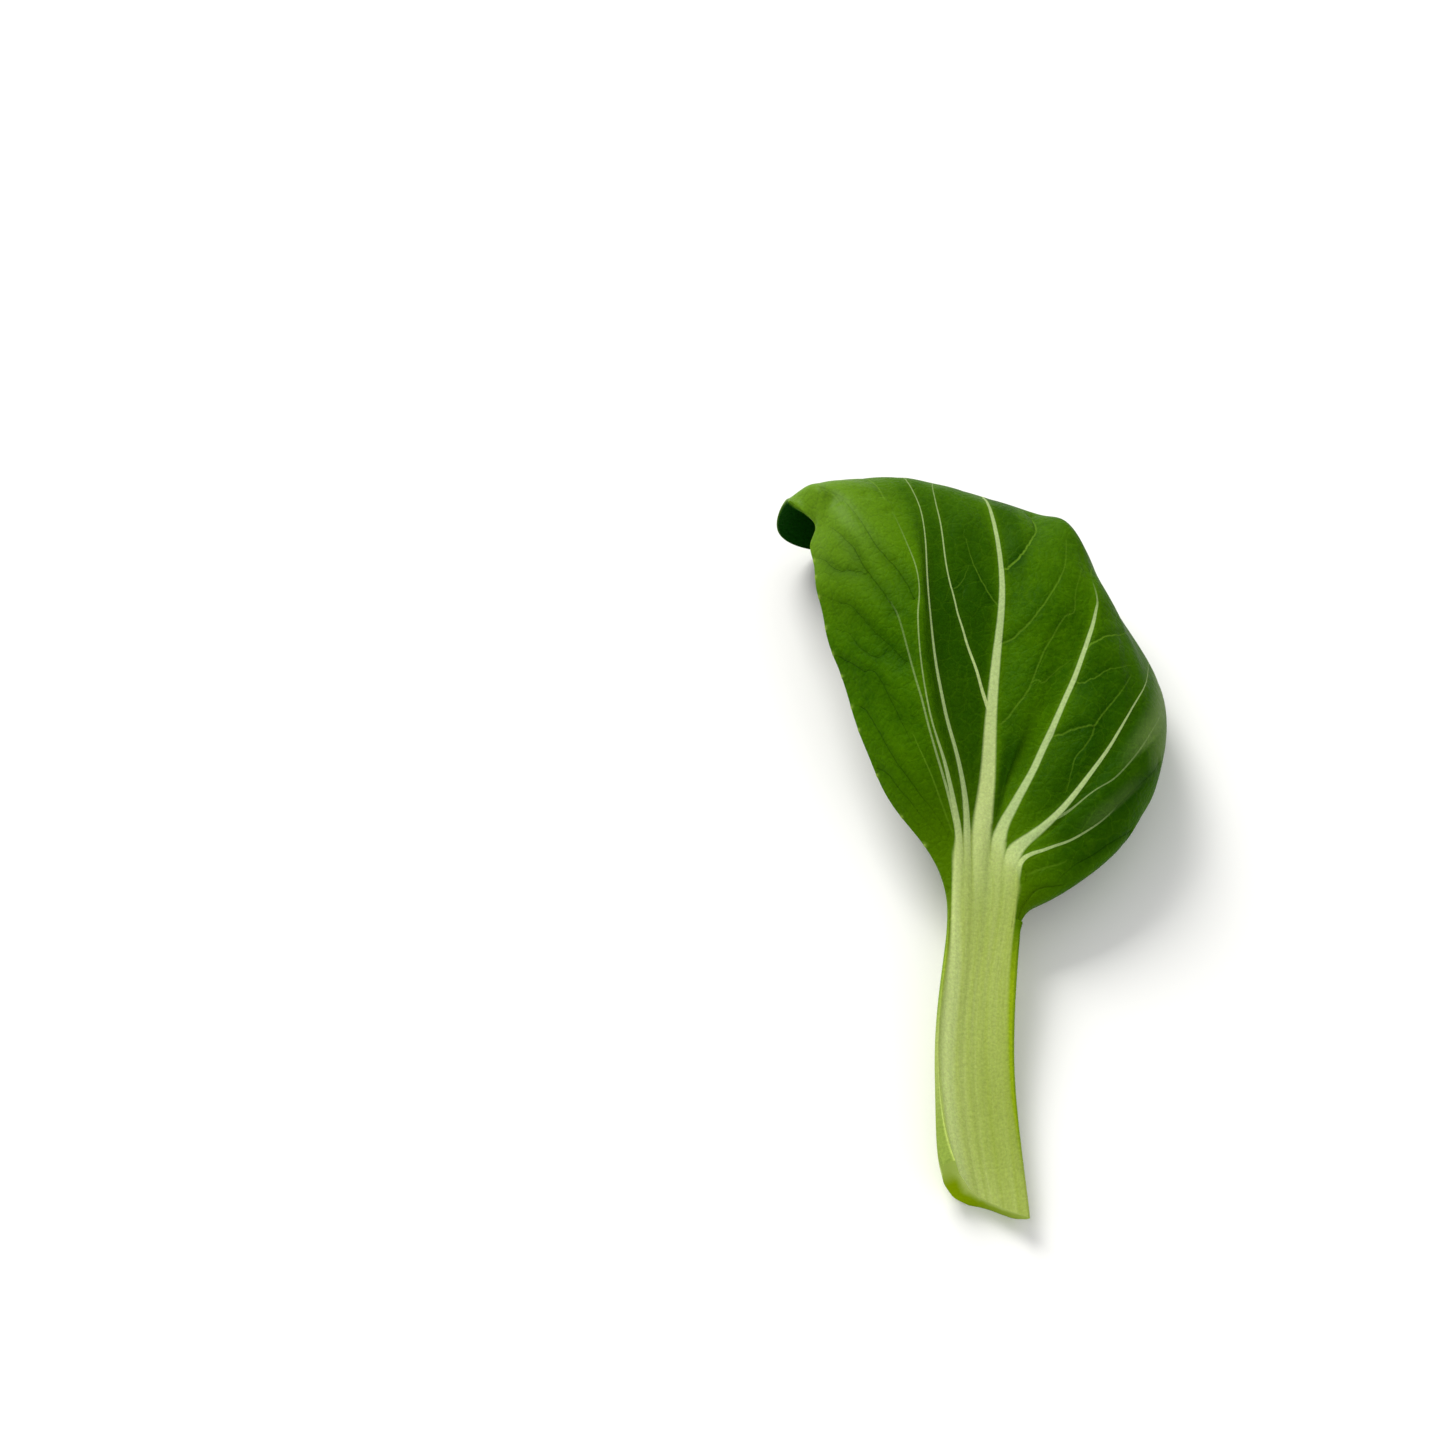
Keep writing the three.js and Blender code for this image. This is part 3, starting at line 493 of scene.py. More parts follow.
# Reaches and heights are in mm, shares from 0 to 1.
CORD_HEIGHT = 0.34
CORD_REACH = 1.2
LEAST_CORD_WIDTH = 0.35
CORD_RISE = (70, 84)
RIB_FADES_AFTER = 3.0
RIB_FADE_REACH = 1.4
FRINGE_REACH = 0.8
VEIN_NARROWING = 0.45
VEIN_START = 0.04
VEIN_FADES_FROM = 0.6
VEIN_FADE = 0.7
LEAST_VEIN = 0.35
VEIN_REACH = 1.1
FINE_VALLEY_WIDTH = 1.5
# The painted shade beside the fine veins: its width in mm and its greatest strength.
HOLLOW_WIDTH = 1.5
DEEPEST_HOLLOW = 0.4
GROOVE_REACH = 1.6
SEAM_START = 0.12
SEAM_DARK_START = 0.08
SEAM_FADES_FROM = 0.55


def sharp_valley(distance, width):
    """A valley with a sharp bottom: it falls off as e^-(distance/width)."""
    return np.exp(-distance / width)


def place_of_rib(path, along):
    """The strand that a rib runs on at each row of the grid: a spline of its places."""
    places = np.array(path, float)
    rows = np.clip(along[:, :1].ravel(), places[0, 0], places[-1, 0])
    return spline(places[:, 0], places[:, 1:], rows)


def solid_relief(along, across, spread):
    """Relief of the solid: rib valleys, stalk flutes and slanting puckers, in mm.

    Each rib takes its valley times a bell of the distance from it, and fades in
    and out along the leaf; the flutes are a cosine across the stalk; the puckers
    are a sine along the blade that leans with the distance from the nearest rib.
    """
    stalk_share = 1.0 - soft_step(STALK_END, BLADE_START, along)
    height = FLUTE_DEPTH * stalk_share * np.cos(2 * math.pi * FLUTE_COUNT * across / RIGHT_EDGE)
    nearest = np.full(across.shape, np.inf)
    for path, start, end, valley, _, _ in SOLID_RIBS:
        distance = np.abs(across - place_of_rib(path, along)) * spread
        share = soft_step(start, start + RIB_VALLEY_RISE, along)
        share = share * (1 - soft_step(end - RIB_VALLEY_FADE, end, along))
        height = height - valley * share * bell(distance, RIB_VALLEY_WIDTH)
        nearest = np.minimum(nearest, distance + RIB_VALLEY_WIDTH * (1 - share))
    on_blade = soft_step(*PUCKERS_RISE, along) * (1 - soft_step(*PUCKERS_FADE, along))
    left_of_belly = 1 - soft_step(*PUCKERS_FADE_TO_RIGHT, across)
    pucker_share = on_blade * left_of_belly * (1 - bell(nearest, PUCKER_CLEAR_OF_RIBS))
    pucker = np.sin(2 * math.pi * (along - PUCKER_SLANT * nearest) / PUCKER_LENGTH)
    return height + PUCKER_HEIGHT * pucker_share * pucker


def solid_thickness(along, across, spread):
    """Thickness in mm: a thick stalk, a thin blade, ribs on the back, thin bends."""
    stalk_share = 1.0 - soft_step(STALK_END, BLADE_START, along)
    crown = 1.0 - np.abs(2.0 * across / RIGHT_EDGE - 1.0) ** 3
    stalk = STALK_EDGE_THICKNESS + (STALK_MIDDLE_THICKNESS - STALK_EDGE_THICKNESS) * crown
    near_cut = 1 - soft_step(*CUT_WALL_FADE, along)
    cut_wall = CUT_WALL_EXTRA_THICKNESS * near_cut * bell(across, CUT_WALL_REACH_ACROSS)
    thickness = BLADE_THICKNESS + (stalk - BLADE_THICKNESS) * stalk_share + cut_wall
    for path, start, end, _, back, width in SOLID_RIBS:
        full = start + RIB_BACK_FULL_AFTER
        share = soft_step(start - RIB_BACK_STARTS_BEFORE, full, along)
        share = share * (1 - RIB_BACK_TAPER * soft_step(full, end, along))
        distance = np.abs(across - place_of_rib(path, along)) * spread
        thickness = thickness + back * share * bell(distance, width)
    for spot_along, spot_across, along_reach, across_reach, share in THIN_SPOTS:
        near = bell(along - spot_along, along_reach) * bell(across - spot_across, across_reach)
        thickness = thickness * (1 - share * near)
    return np.maximum(thickness, LEAST_THICKNESS)


# ---------------------------------------------------------------- the fine mesh

ROWS_ON_STALK = 42
ROWS_ON_BLADE = 234
COLUMNS = 171
FINE_ROW_POINTS = 600
MIDDLE_OF_BLADE = 112.0
ARC_SHARE = 0.75
ALONG_STEP = 0.5
ACROSS_STEP = 0.05
MARGIN_BULGE = 0.22

# The maps that hold one number at each point; the others hold one for each channel.
PLAIN_MAPS = ("along", "across", "fringe", "seam", "hollow_shade", "dots", "stalk")


def unit(vectors):
    """Vectors brought to length 1 along their last axis."""
    return vectors / np.linalg.norm(vectors, axis=-1, keepdims=True)


def places_of_columns():
    """Places across the leaf, spread so that the arc over the blade is cut evenly.

    The arc length at the middle of the blade is summed over a fine row, and the
    places are read back at even shares of a mix of that length and the strand.
    """
    fine = np.linspace(0.0, RIGHT_EDGE, FINE_ROW_POINTS)
    row = smooth_surface(np.array([MIDDLE_OF_BLADE]), fine)[0]
    length = np.concatenate([[0.0], np.cumsum(np.linalg.norm(np.diff(row, axis=0), axis=1))])
    run = ARC_SHARE * length / length[-1] + (1 - ARC_SHARE) * fine / RIGHT_EDGE
    return np.interp(np.linspace(0.0, 1.0, COLUMNS), run, fine)


def leaf_skin(along_rows, across_columns):
    """The smooth inner face as a grid, its normals, and the mm per strand across it.

    The normal is the cross product of short steps across and along the surface.
    """
    left = np.maximum(across_columns - ACROSS_STEP, 0.0)
    right = np.minimum(across_columns + ACROSS_STEP, RIGHT_EDGE)
    before = np.maximum(along_rows - ALONG_STEP, 0.0)
    after = np.minimum(along_rows + ALONG_STEP, LEAF_LENGTH)
    sideways = smooth_surface(along_rows, right) - smooth_surface(along_rows, left)
    forwards = smooth_surface(after, across_columns) - smooth_surface(before, across_columns)
    spread = np.linalg.norm(sideways, axis=-1) / (right - left)
    return smooth_surface(along_rows, across_columns), unit(np.cross(sideways, forwards)), spread


def rib_maps(skin, maps):
    """The maps of the main ribs, and the relief of their cords in mm.

    At each point a channel keeps the rib that is nearest in half widths: its
    signed offset, and how pale it is, which fades a few half widths away. The
    fringe is a wider glow beside the ribs. A cord's height goes with its width
    and paleness, is a bell across the rib, and comes in past the stalk.
    """
    offsets = np.full((len(skin.points), 3), np.inf)
    pales = np.zeros((len(skin.points), 3))
    fringe = np.zeros(len(skin.points))
    relief = np.zeros(len(skin.points))
    for path, widths, paleness, channel in MAIN_RIBS.values():
        distance, side, share = signed_distance(skin, path)
        run = np.linspace(0.0, 1.0, len(widths))
        width = np.interp(share, run, widths)
        pale = np.interp(share, run, paleness)
        offset = distance / width
        near = offset < np.abs(offsets[:, channel])
        offsets[near, channel] = (offset * side)[near]
        fade = bell(np.maximum(distance - RIB_FADES_AFTER * width, 0.0), RIB_FADE_REACH)
        pales[near, channel] = (pale * fade)[near]
        fringe = np.maximum(fringe, pale * bell(np.maximum(distance - width, 0.0), FRINGE_REACH))
        cord = CORD_HEIGHT * np.minimum(width, 1.0) * pale * soft_step(*CORD_RISE, skin.along)
        relief = relief + cord * bell(distance, CORD_REACH * np.maximum(width, LEAST_CORD_WIDTH))
    maps["rib_offset"] = np.clip(offsets, -FURTHEST_OFFSET, FURTHEST_OFFSET)
    maps["rib_pale"] = pales
    maps["fringe"] = fringe
    return relief


def vein_maps(skin, maps):
    """The maps of the fine veins, and the relief of their valleys in mm.

    Each vein narrows, and fades out over its last part. Its valley has a sharp
    bottom, and beside it a map of painted shade darkens the blade.
    """
    offsets = np.full((len(skin.points), 2), np.inf)
    pales = np.zeros((len(skin.points), 2))
    hollow_shade = np.zeros(len(skin.points))
    relief = np.zeros(len(skin.points))
    for path, width, pale, depths, channel in FINE_VEINS:
        distance, side, share = signed_distance(skin, path, wiggle=FINE_WIGGLE)
        offset = distance / (width * (1.0 - VEIN_NARROWING * share))
        near = offset < np.abs(offsets[:, channel])
        offsets[near, channel] = (offset * side)[near]
        begun = soft_step(0.0, VEIN_START, share)
        ends = begun * (1 - VEIN_FADE * soft_step(VEIN_FADES_FROM, 1.0, share))
        strength = LEAST_VEIN + (1 - LEAST_VEIN) * ends
        pales[near, channel] = (pale * strength * bell(distance, VEIN_REACH))[near]
        depth = np.interp(share, (0.0, 1.0), depths) * begun
        relief = relief - depth * sharp_valley(distance, FINE_VALLEY_WIDTH)
        hollow_shade = np.maximum(hollow_shade, np.minimum(depth, DEEPEST_HOLLOW) * ends * bell(distance, HOLLOW_WIDTH))
    maps["vein_offset"] = np.clip(offsets, -FURTHEST_OFFSET, FURTHEST_OFFSET)
    maps["vein_pale"] = pales
    maps["hollow_shade"] = hollow_shade
    return relief


def seam_map(skin, maps):
    """The map of the stalk's seams, and the relief of their grooves in mm: bells
    across each seam that come in fast and fade out over its second half."""
    seam = np.zeros(len(skin.points))
    relief = np.zeros(len(skin.points))
    for path, depth, width, (dark_start, dark_end) in SEAMS:
        distance, _, share = signed_distance(skin, path)
        ends = soft_step(0.0, SEAM_START, share) * (1 - soft_step(SEAM_FADES_FROM, 1.0, share))
        relief = relief - depth * ends * bell(distance, GROOVE_REACH * width)
        darkness = dark_start + (dark_end - dark_start) * share
        darkness = darkness * soft_step(0.0, SEAM_DARK_START, share)
        seam = np.maximum(seam, darkness * bell(distance, width))
    maps["seam"] = seam
    return relief


def dot_map(skin, maps):
    """The map of the left margin's dots, and the relief of the dots and dimples in mm."""
    dots = np.zeros(len(skin.points))
    relief = np.zeros(len(skin.points))
    for along, across, reach, depth in DIMPLES:
        relief = relief - depth * bell(distance_to_place(skin, along, across), reach)
    for along in MARGIN_DOTS:
        near = bell(distance_to_place(skin, along, 0.0), MARGIN_DOT_REACH)
        dots = np.maximum(dots, near)
        relief = relief + MARGIN_DOT_HEIGHT * near
    maps["dots"] = dots
    return relief


def leaf_arrays():
    """Both faces of the leaf as arrays of points in mm, and the maps of its surface.

    The inner face is the smooth surface moved along its own normal by the relief;
    the outer face lies below it by the thickness, and neither goes under height 0.
    """
    along_rows = np.concatenate([
        np.linspace(0.0, STALK_END, ROWS_ON_STALK, endpoint=False),
        np.linspace(STALK_END, LEAF_LENGTH, ROWS_ON_BLADE)])
    across_columns = places_of_columns()
    smooth, up, spread = leaf_skin(along_rows, across_columns)
    along, across = np.meshgrid(along_rows, across_columns, indexing="ij")
    skin = SimpleNamespace(
        points=smooth.reshape(-1, 3), up=up.reshape(-1, 3), along=along.ravel(), across=across.ravel())
    maps = {"along": skin.along, "across": skin.across, "stalk": stalk_share(skin.along, skin.across)}
    fine = rib_maps(skin, maps) + vein_maps(skin, maps) + seam_map(skin, maps) + dot_map(skin, maps)
    relief = solid_relief(along, across, spread) + fine.reshape(along.shape)
    inner = smooth + up * relief[..., None]
    outer = inner - up * solid_thickness(along, across, spread)[..., None]
    inner[..., 2] = np.maximum(inner[..., 2], 0.0)
    outer[..., 2] = np.maximum(outer[..., 2], 0.0)
    return inner - FOOTPRINT_CENTRE, outer - FOOTPRINT_CENTRE, maps


def rim_loop(rows, columns):
    """Grid numbers round the edge: cut end, right margin, tip, left margin."""
    bottom = np.arange(columns - 1)
    right = np.arange(rows - 1) * columns + columns - 1
    top = (rows - 1) * columns + np.arange(columns - 1, 0, -1)
    left = np.arange(rows - 1, 0, -1) * columns
    return np.concatenate([bottom, right, top, left])


def leaf_triangles(rows, columns):
    """The closed leaf's triangles: inner face, outer face, and the rim in two bands.

    Every cell of the grid is two triangles, split alike on both faces. The rim's
    bands run from each face's edge to a middle line.
    """
    count = rows * columns
    a = (np.arange(rows - 1)[:, None] * columns + np.arange(columns - 1)).ravel()
    b, c, d = a + 1, a + 1 + columns, a + columns
    upper = np.concatenate([np.stack([a, b, c], 1), np.stack([a, c, d], 1)])
    lower = count + upper[:, ::-1]
    loop = rim_loop(rows, columns)
    following = np.roll(loop, -1)
    middle = 2 * count + np.arange(len(loop))
    middle_next = np.roll(middle, -1)
    rim = [
        np.stack([loop, middle, middle_next], 1),
        np.stack([loop, middle_next, following], 1),
        np.stack([middle, count + loop, count + following], 1),
        np.stack([middle, count + following, middle_next], 1),
    ]
    return np.concatenate([upper, lower] + rim), len(upper) + len(lower)


def rim_middle(inner, outer, loop, columns):
    """The rim's middle line: halfway between the faces' edges, bulging outwards by
    the cross product of the edge's run and the wall, and flat across the cut end."""
    edge_inner, edge_outer = inner[loop], outer[loop]
    run = np.roll(edge_inner, -1, axis=0) - np.roll(edge_inner, 1, axis=0)
    outward = unit(np.cross(unit(run), unit(edge_inner - edge_outer)))
    on_cut = np.arange(len(loop)) < columns
    middle = 0.5 * (edge_inner + edge_outer) + outward * np.where(on_cut, 0.0, MARGIN_BULGE)[:, None]
    middle[:, 2] = np.maximum(middle[:, 2], 0.0)
    return middle


def in_scene(name, data):
    """A new object of a mesh, lamp or camera, linked into the scene."""
    made = bpy.data.objects.new(name, data)
    bpy.context.scene.collection.objects.link(made)
    return made


def add_map(mesh, name, kind, domain, field, values):
    """One more attribute of a mesh, filled from an array."""
    values = np.ascontiguousarray(values).ravel()
    mesh.attributes.new(name, kind, domain).data.foreach_set(field, values)


def leaf_piece():
    """The closed fine leaf as a piece, with its maps as attributes of its mesh."""
    inner, outer, maps = leaf_arrays()
    rows, columns = inner.shape[:2]
    count = rows * columns
    inner, outer = inner.reshape(-1, 3), outer.reshape(-1, 3)
    loop = rim_loop(rows, columns)
    points = np.concatenate([inner, outer, rim_middle(inner, outer, loop, columns)]) * MM
    triangles, rim_start = leaf_triangles(rows, columns)

    mesh = bpy.data.meshes.new("bok_choy_leaf")
    mesh.from_pydata(points.tolist(), [], triangles.tolist())
    mesh.update()
    on_cut = np.tile(np.arange(len(loop)) < columns - 1, 4)
    cut_faces = np.concatenate([np.zeros(rim_start, bool), on_cut])
    add_map(mesh, "sharp_face", "BOOLEAN", "FACE", "value", cut_faces)
    add_map(mesh, "cut", "FLOAT", "FACE", "value", cut_faces.astype(np.float32))
    for name, values in maps.items():
        values = np.concatenate([values, values, values[loop]]).astype(np.float32)
        if name in PLAIN_MAPS:
            add_map(mesh, name, "FLOAT", "POINT", "value", values)
        else:
            unused = np.zeros((len(values), 3 - values.shape[1]), np.float32)
            add_map(mesh, name, "FLOAT_VECTOR", "POINT", "vector", np.hstack([values, unused]))
    underside = np.concatenate([np.zeros(count), np.ones(count), np.full(len(loop), 0.5)])
    add_map(mesh, "underside", "FLOAT", "POINT", "value", underside.astype(np.float32))
    return in_scene("bok_choy_leaf", mesh)


# ------------------------------------------------------------- shader helpers

def linear(red, green, blue):
    """A colour given as 0 to 255 on a screen, as the linear numbers of a shader."""
    shares = np.array([red, green, blue]) / 255.0
    low = shares / 12.92
    high = ((shares + 0.055) / 1.055) ** 2.4
    return tuple(np.where(shares <= 0.04045, low, high)) + (1.0,)


def node(tree, kind, **settings):
    """A new node of a kind, with its settings."""
    made = tree.nodes.new(kind)
    for name, value in settings.items():
        setattr(made, name, value)
    return made


def feed(tree, socket, value):
    """A socket gets a plain number, vector or colour, or a link from another socket."""
    if isinstance(value, bpy.types.NodeSocket):
        tree.links.new(value, socket)
    else:
        socket.default_value = value


def calc(tree, operation, first, second=0.0, clamp=False):
    """A math node on sockets or numbers; gives its value."""
    made = node(tree, "ShaderNodeMath", operation=operation, use_clamp=clamp)
    feed(tree, made.inputs[0], first)
    feed(tree, made.inputs[1], second)
    return made.outputs[0]


def product(tree, first, *others):
    """All the given values multiplied."""
    for value in others:
        first = calc(tree, "MULTIPLY", first, value)
    return first


def greatest(tree, first, *others):
    """The greatest of the given values."""
    for value in others:
        first = calc(tree, "MAXIMUM", first, value)
    return first


def total(tree, first, *others):
    """All the given values added."""
    for value in others:
        first = calc(tree, "ADD", first, value)
    return first


def rest(tree, share):
    """What a share leaves of 1."""
    return calc(tree, "SUBTRACT", 1.0, share)


def off_line(tree, value, centre):
    """How far a value is from a centre, to either side."""
    return calc(tree, "ABSOLUTE", calc(tree, "SUBTRACT", value, centre))


def ramp(tree, value, low, high, to_low=0.0, to_high=1.0, ends="LINEAR"):
    """A value taken from one range to another and held past its ends, which are
    straight (LINEAR) or soft (SMOOTHSTEP)."""
    made = node(tree, "ShaderNodeMapRange", interpolation_type=ends)
    feed(tree, made.inputs["Value"], value)
    for name, number in (("From Min", low), ("From Max", high), ("To Min", to_low), ("To Max", to_high)):
        feed(tree, made.inputs[name], number)
    return made.outputs["Result"]


def mix_colour(tree, share, first, second, blend="MIX"):
    """A colour mix; share, first and second are sockets or plain values."""
    made = node(tree, "ShaderNodeMix", data_type="RGBA", blend_type=blend)
    for number, value in ((0, share), (6, first), (7, second)):
        feed(tree, made.inputs[number], value)
    return made.outputs[2]


def own_place(tree):
    """The piece's own coordinates, in metres."""
    return node(tree, "ShaderNodeTexCoord").outputs["Object"]


def noise(tree, place, scale, detail, roughness):
    """Noise over some coordinates: Fac is one value, Color three of them."""
    made = node(tree, "ShaderNodeTexNoise")
    feed(tree, made.inputs["Vector"], place)
    for name, number in (("Scale", scale), ("Detail", detail), ("Roughness", roughness)):
        feed(tree, made.inputs[name], number)
    return made.outputs


def cell_walls(tree, place, scale):
    """The distance to the nearest wall between cells scattered over some coordinates."""
    made = node(tree, "ShaderNodeTexVoronoi", feature="DISTANCE_TO_EDGE")
    feed(tree, made.inputs["Vector"], place)
    feed(tree, made.inputs["Scale"], scale)
    return made.outputs["Distance"]


def cord_mask_group():
    """One channel of the rib or vein maps as a line mask: a soft step on the
    distance in half widths, times how pale the cord is there."""
    group = bpy.data.node_groups.new("cord mask", "ShaderNodeTree")
    for label in ("Offset", "Paleness", "Inner", "Outer"):
        group.interface.new_socket(name=label, in_out="INPUT", socket_type="NodeSocketFloat")
    group.interface.new_socket(name="Mask", in_out="OUTPUT", socket_type="NodeSocketFloat")
    given = node(group, "NodeGroupInput").outputs
    size = calc(group, "ABSOLUTE", given["Offset"])
    line = ramp(group, size, given["Inner"], given["Outer"], 1.0, 0.0, "SMOOTHSTEP")
    mask = product(group, line, given["Paleness"])
    group.links.new(mask, node(group, "NodeGroupOutput").inputs["Mask"])
    return group


def cords(tree, group, kind, channels, inner, outer):
    """The largest and the smallest line mask over the channels of the rib or vein maps."""
    parts = []
    for name in (kind + "_offset", kind + "_pale"):
        drawn = node(tree, "ShaderNodeAttribute", attribute_name=name)
        split = node(tree, "ShaderNodeSeparateXYZ")
        tree.links.new(drawn.outputs["Vector"], split.inputs[0])
        parts.append(split.outputs)
    largest = 0.0
    smallest = 0.0
    for channel in range(channels):
        mask = node(tree, "ShaderNodeGroup", node_tree=group)
        feed(tree, mask.inputs["Offset"], parts[0][channel])
        feed(tree, mask.inputs["Paleness"], parts[1][channel])
        feed(tree, mask.inputs["Inner"], inner)
        feed(tree, mask.inputs["Outer"], outer)
        largest = calc(tree, "MAXIMUM", mask.outputs["Mask"], largest)
        smallest = calc(tree, "MINIMUM", mask.outputs["Mask"], smallest)
    return largest, smallest


# ------------------------------------------------------------- the leaf's tissue

DEEP_GREEN = linear(31, 71, 0)
FRESH_GREEN = linear(54, 95, 0)
BRIGHT_GREEN = linear(84, 126, 0)
# Painted shade on the blade.
PAINTED_SHADE_GREEN = linear(22, 59, 0)
# Painted shade in the creases.
CREASE_SHADOW_GREEN = linear(18, 50, 0)
NET_LIGHT = linear(82, 122, 8)
# Painted shade of the net on the flap.
NET_SHADOW_GREEN = linear(30, 66, 0)
# Lighter green of the rolled tip, partly painted light.
TIP_LIT_GREEN = linear(98, 137, 14)
# Painted sheen on the panels to the right.
PAINTED_SHEEN_GREEN = linear(98, 124, 58)
YOUNG_GREEN = linear(62, 98, 0)
YELLOW_GREEN = linear(88, 126, 0)
VEIN_GREEN = linear(108, 146, 36)
DOT_GREEN = linear(150, 178, 70)
RIB_FOOT = linear(182, 198, 124)
RIB_PALE = linear(160, 181, 119)
STALK_PALE = linear(166, 181, 102)
# Paler stalk green, brightened further with painted light.
STALK_LIT_PALE = linear(188, 204, 128)
STALK_GREEN = linear(142, 159, 64)
STALK_THREAD = linear(138, 157, 62)
STALK_LOW = linear(132, 150, 58)
# Painted highlight on top of the wall at the cut, and painted shade down its green side.
WALL_HIGHLIGHT = linear(188, 208, 106)
WALL_SIDE_SHADE = linear(132, 155, 62)
SEAM_GREEN = linear(84, 112, 0)
LEFT_EDGE_GREEN = linear(152, 176, 56)
RIGHT_EDGE_GREEN = linear(138, 161, 20)
JOIN_GREEN = linear(70, 103, 0)
BACK_GREEN = linear(84, 118, 44)
# Painted shade inside the roll.
ROLL_SHADOW_GREEN = linear(0, 56, 0)
# Painted shade on the cut end.
CUT_SHADOW_GREEN = linear(124, 150, 0)
CUT_LIGHT = linear(170, 188, 96)
CUT_CORNER = linear(158, 180, 82)

# How far sooner, in mm along the leaf, the right margin darkens to the join.
RIGHT_JOIN_LEAD = 6.0

# How strongly a colour is mixed in where its mask is full.
MOTTLE_STRENGTH = 0.32
HALO_STRENGTH = 0.36
PAINTED_SHEEN_STRENGTH = 0.85
NET_STRENGTH = 0.1
RIM_STRENGTH = 0.35
DOT_STRENGTH = 0.8
BAND_STRENGTH = 0.52
THREAD_STRENGTH = 0.26
SEAM_STRENGTH = 0.42
RIB_OVER_STALK = 0.8

# The width of a line mask in half widths of its rib or vein: full up to the
# first number, gone at the second.
RIB_LINE = (0.72, 1.2)
VEIN_LINE = (0.3, 1.7)

# The grain of the tissue: scale per metre, detail and roughness of each noise.
GRAIN = (1900.0, 3.0, 0.7)
CLOUDS = (60.0, 4.0, 0.6)
MOTTLE = (750.0, 4.0, 0.7)
QUILT = (300.0, 2.0, 0.5)
SHADE_SPOTS_ON_CUT = (420.0, 3.0, 0.5)
BANDS = (1.1, 2.0, 0.5)
THREADS = (5.0, 2.0, 0.5)
THREAD_STRETCH = 0.012
NET_SCALE = 215.0
NET_BENDS = (220.0, 2.0, 0.5)
NET_BEND = 0.003
CELL_SCALE = 560.0

# Ramps over one map: from, to, its values there if they aren't 0 and 1, and its
# ends if they are soft.
CLOUD_RANGE = (0.34, 0.66)
MOTTLE_RANGE = (0.3, 0.75)
BAND_RANGE = (0.32, 0.68)
THREAD_RANGE = (0.35, 0.7)
PAINTED_SHEEN_IN_CLOUDS = (0.0, 1.0, 0.7, 1.0)
NET_WALL = (0.06, 0.0, 0.0, 1.0, "SMOOTHSTEP")
CELL_WALL = (0.0, 0.22)
ONTO_FLAP = (2.6, 2.1)
TO_THE_RIGHT = (3.0, 8.0)
NEARING_JOIN = (52.0, 67.0)
ROUND_RIM = (0.5, 0.1)
STALK_GREENER = (2.5, 10.5, -0.1, 0.4)
DOWN_THE_WALL = (0.0, 0.2)
SIDE_RIBS_START = (0.9, 1.4)
SIDE_RIBS_DULL = (72.0, 83.0)
RIBS_DULL = (84.0, 118.0)
SPECKLE = (0.3, 0.7, 0.8, 1.17)
SPECKLE_SHARE = (0.0, 1.0, 0.6, 0.85)
BACK_STRENGTH = (0.0, 1.0, 0.55, 0.97)
CUT_SHADE_DEPTH = (0.25, 0.8, 0.0, 1.0, "SMOOTHSTEP")
SKIN_RELIEF = (0.0, 1.0, 1.0, 0.3)
NET_RELIEF = (0.0, 0.5, -0.5, 0.0)

MIDRIB_STRAND = 5.0
RIM_MIDDLE = 0.5
CUT_SHADE_SPOT_DEPTH = 0.5

BLADE_ROUGHNESS = (0.0, 1.0, 0.37, 0.49)
PALE_ROUGHER = 0.1
BACK_ROUGHER = 0.16
WAX = 0.25

BUMP_STRENGTH = 0.5
BUMP_HEIGHT = 0.00016
QUILT_RELIEF = 4.0
GRAIN_RELIEF = 0.7
THREAD_RELIEF = 0.12
RIB_RELIEF = 0.8
VEIN_RELIEF = -0.5
CREASE_RELIEF = 1.6

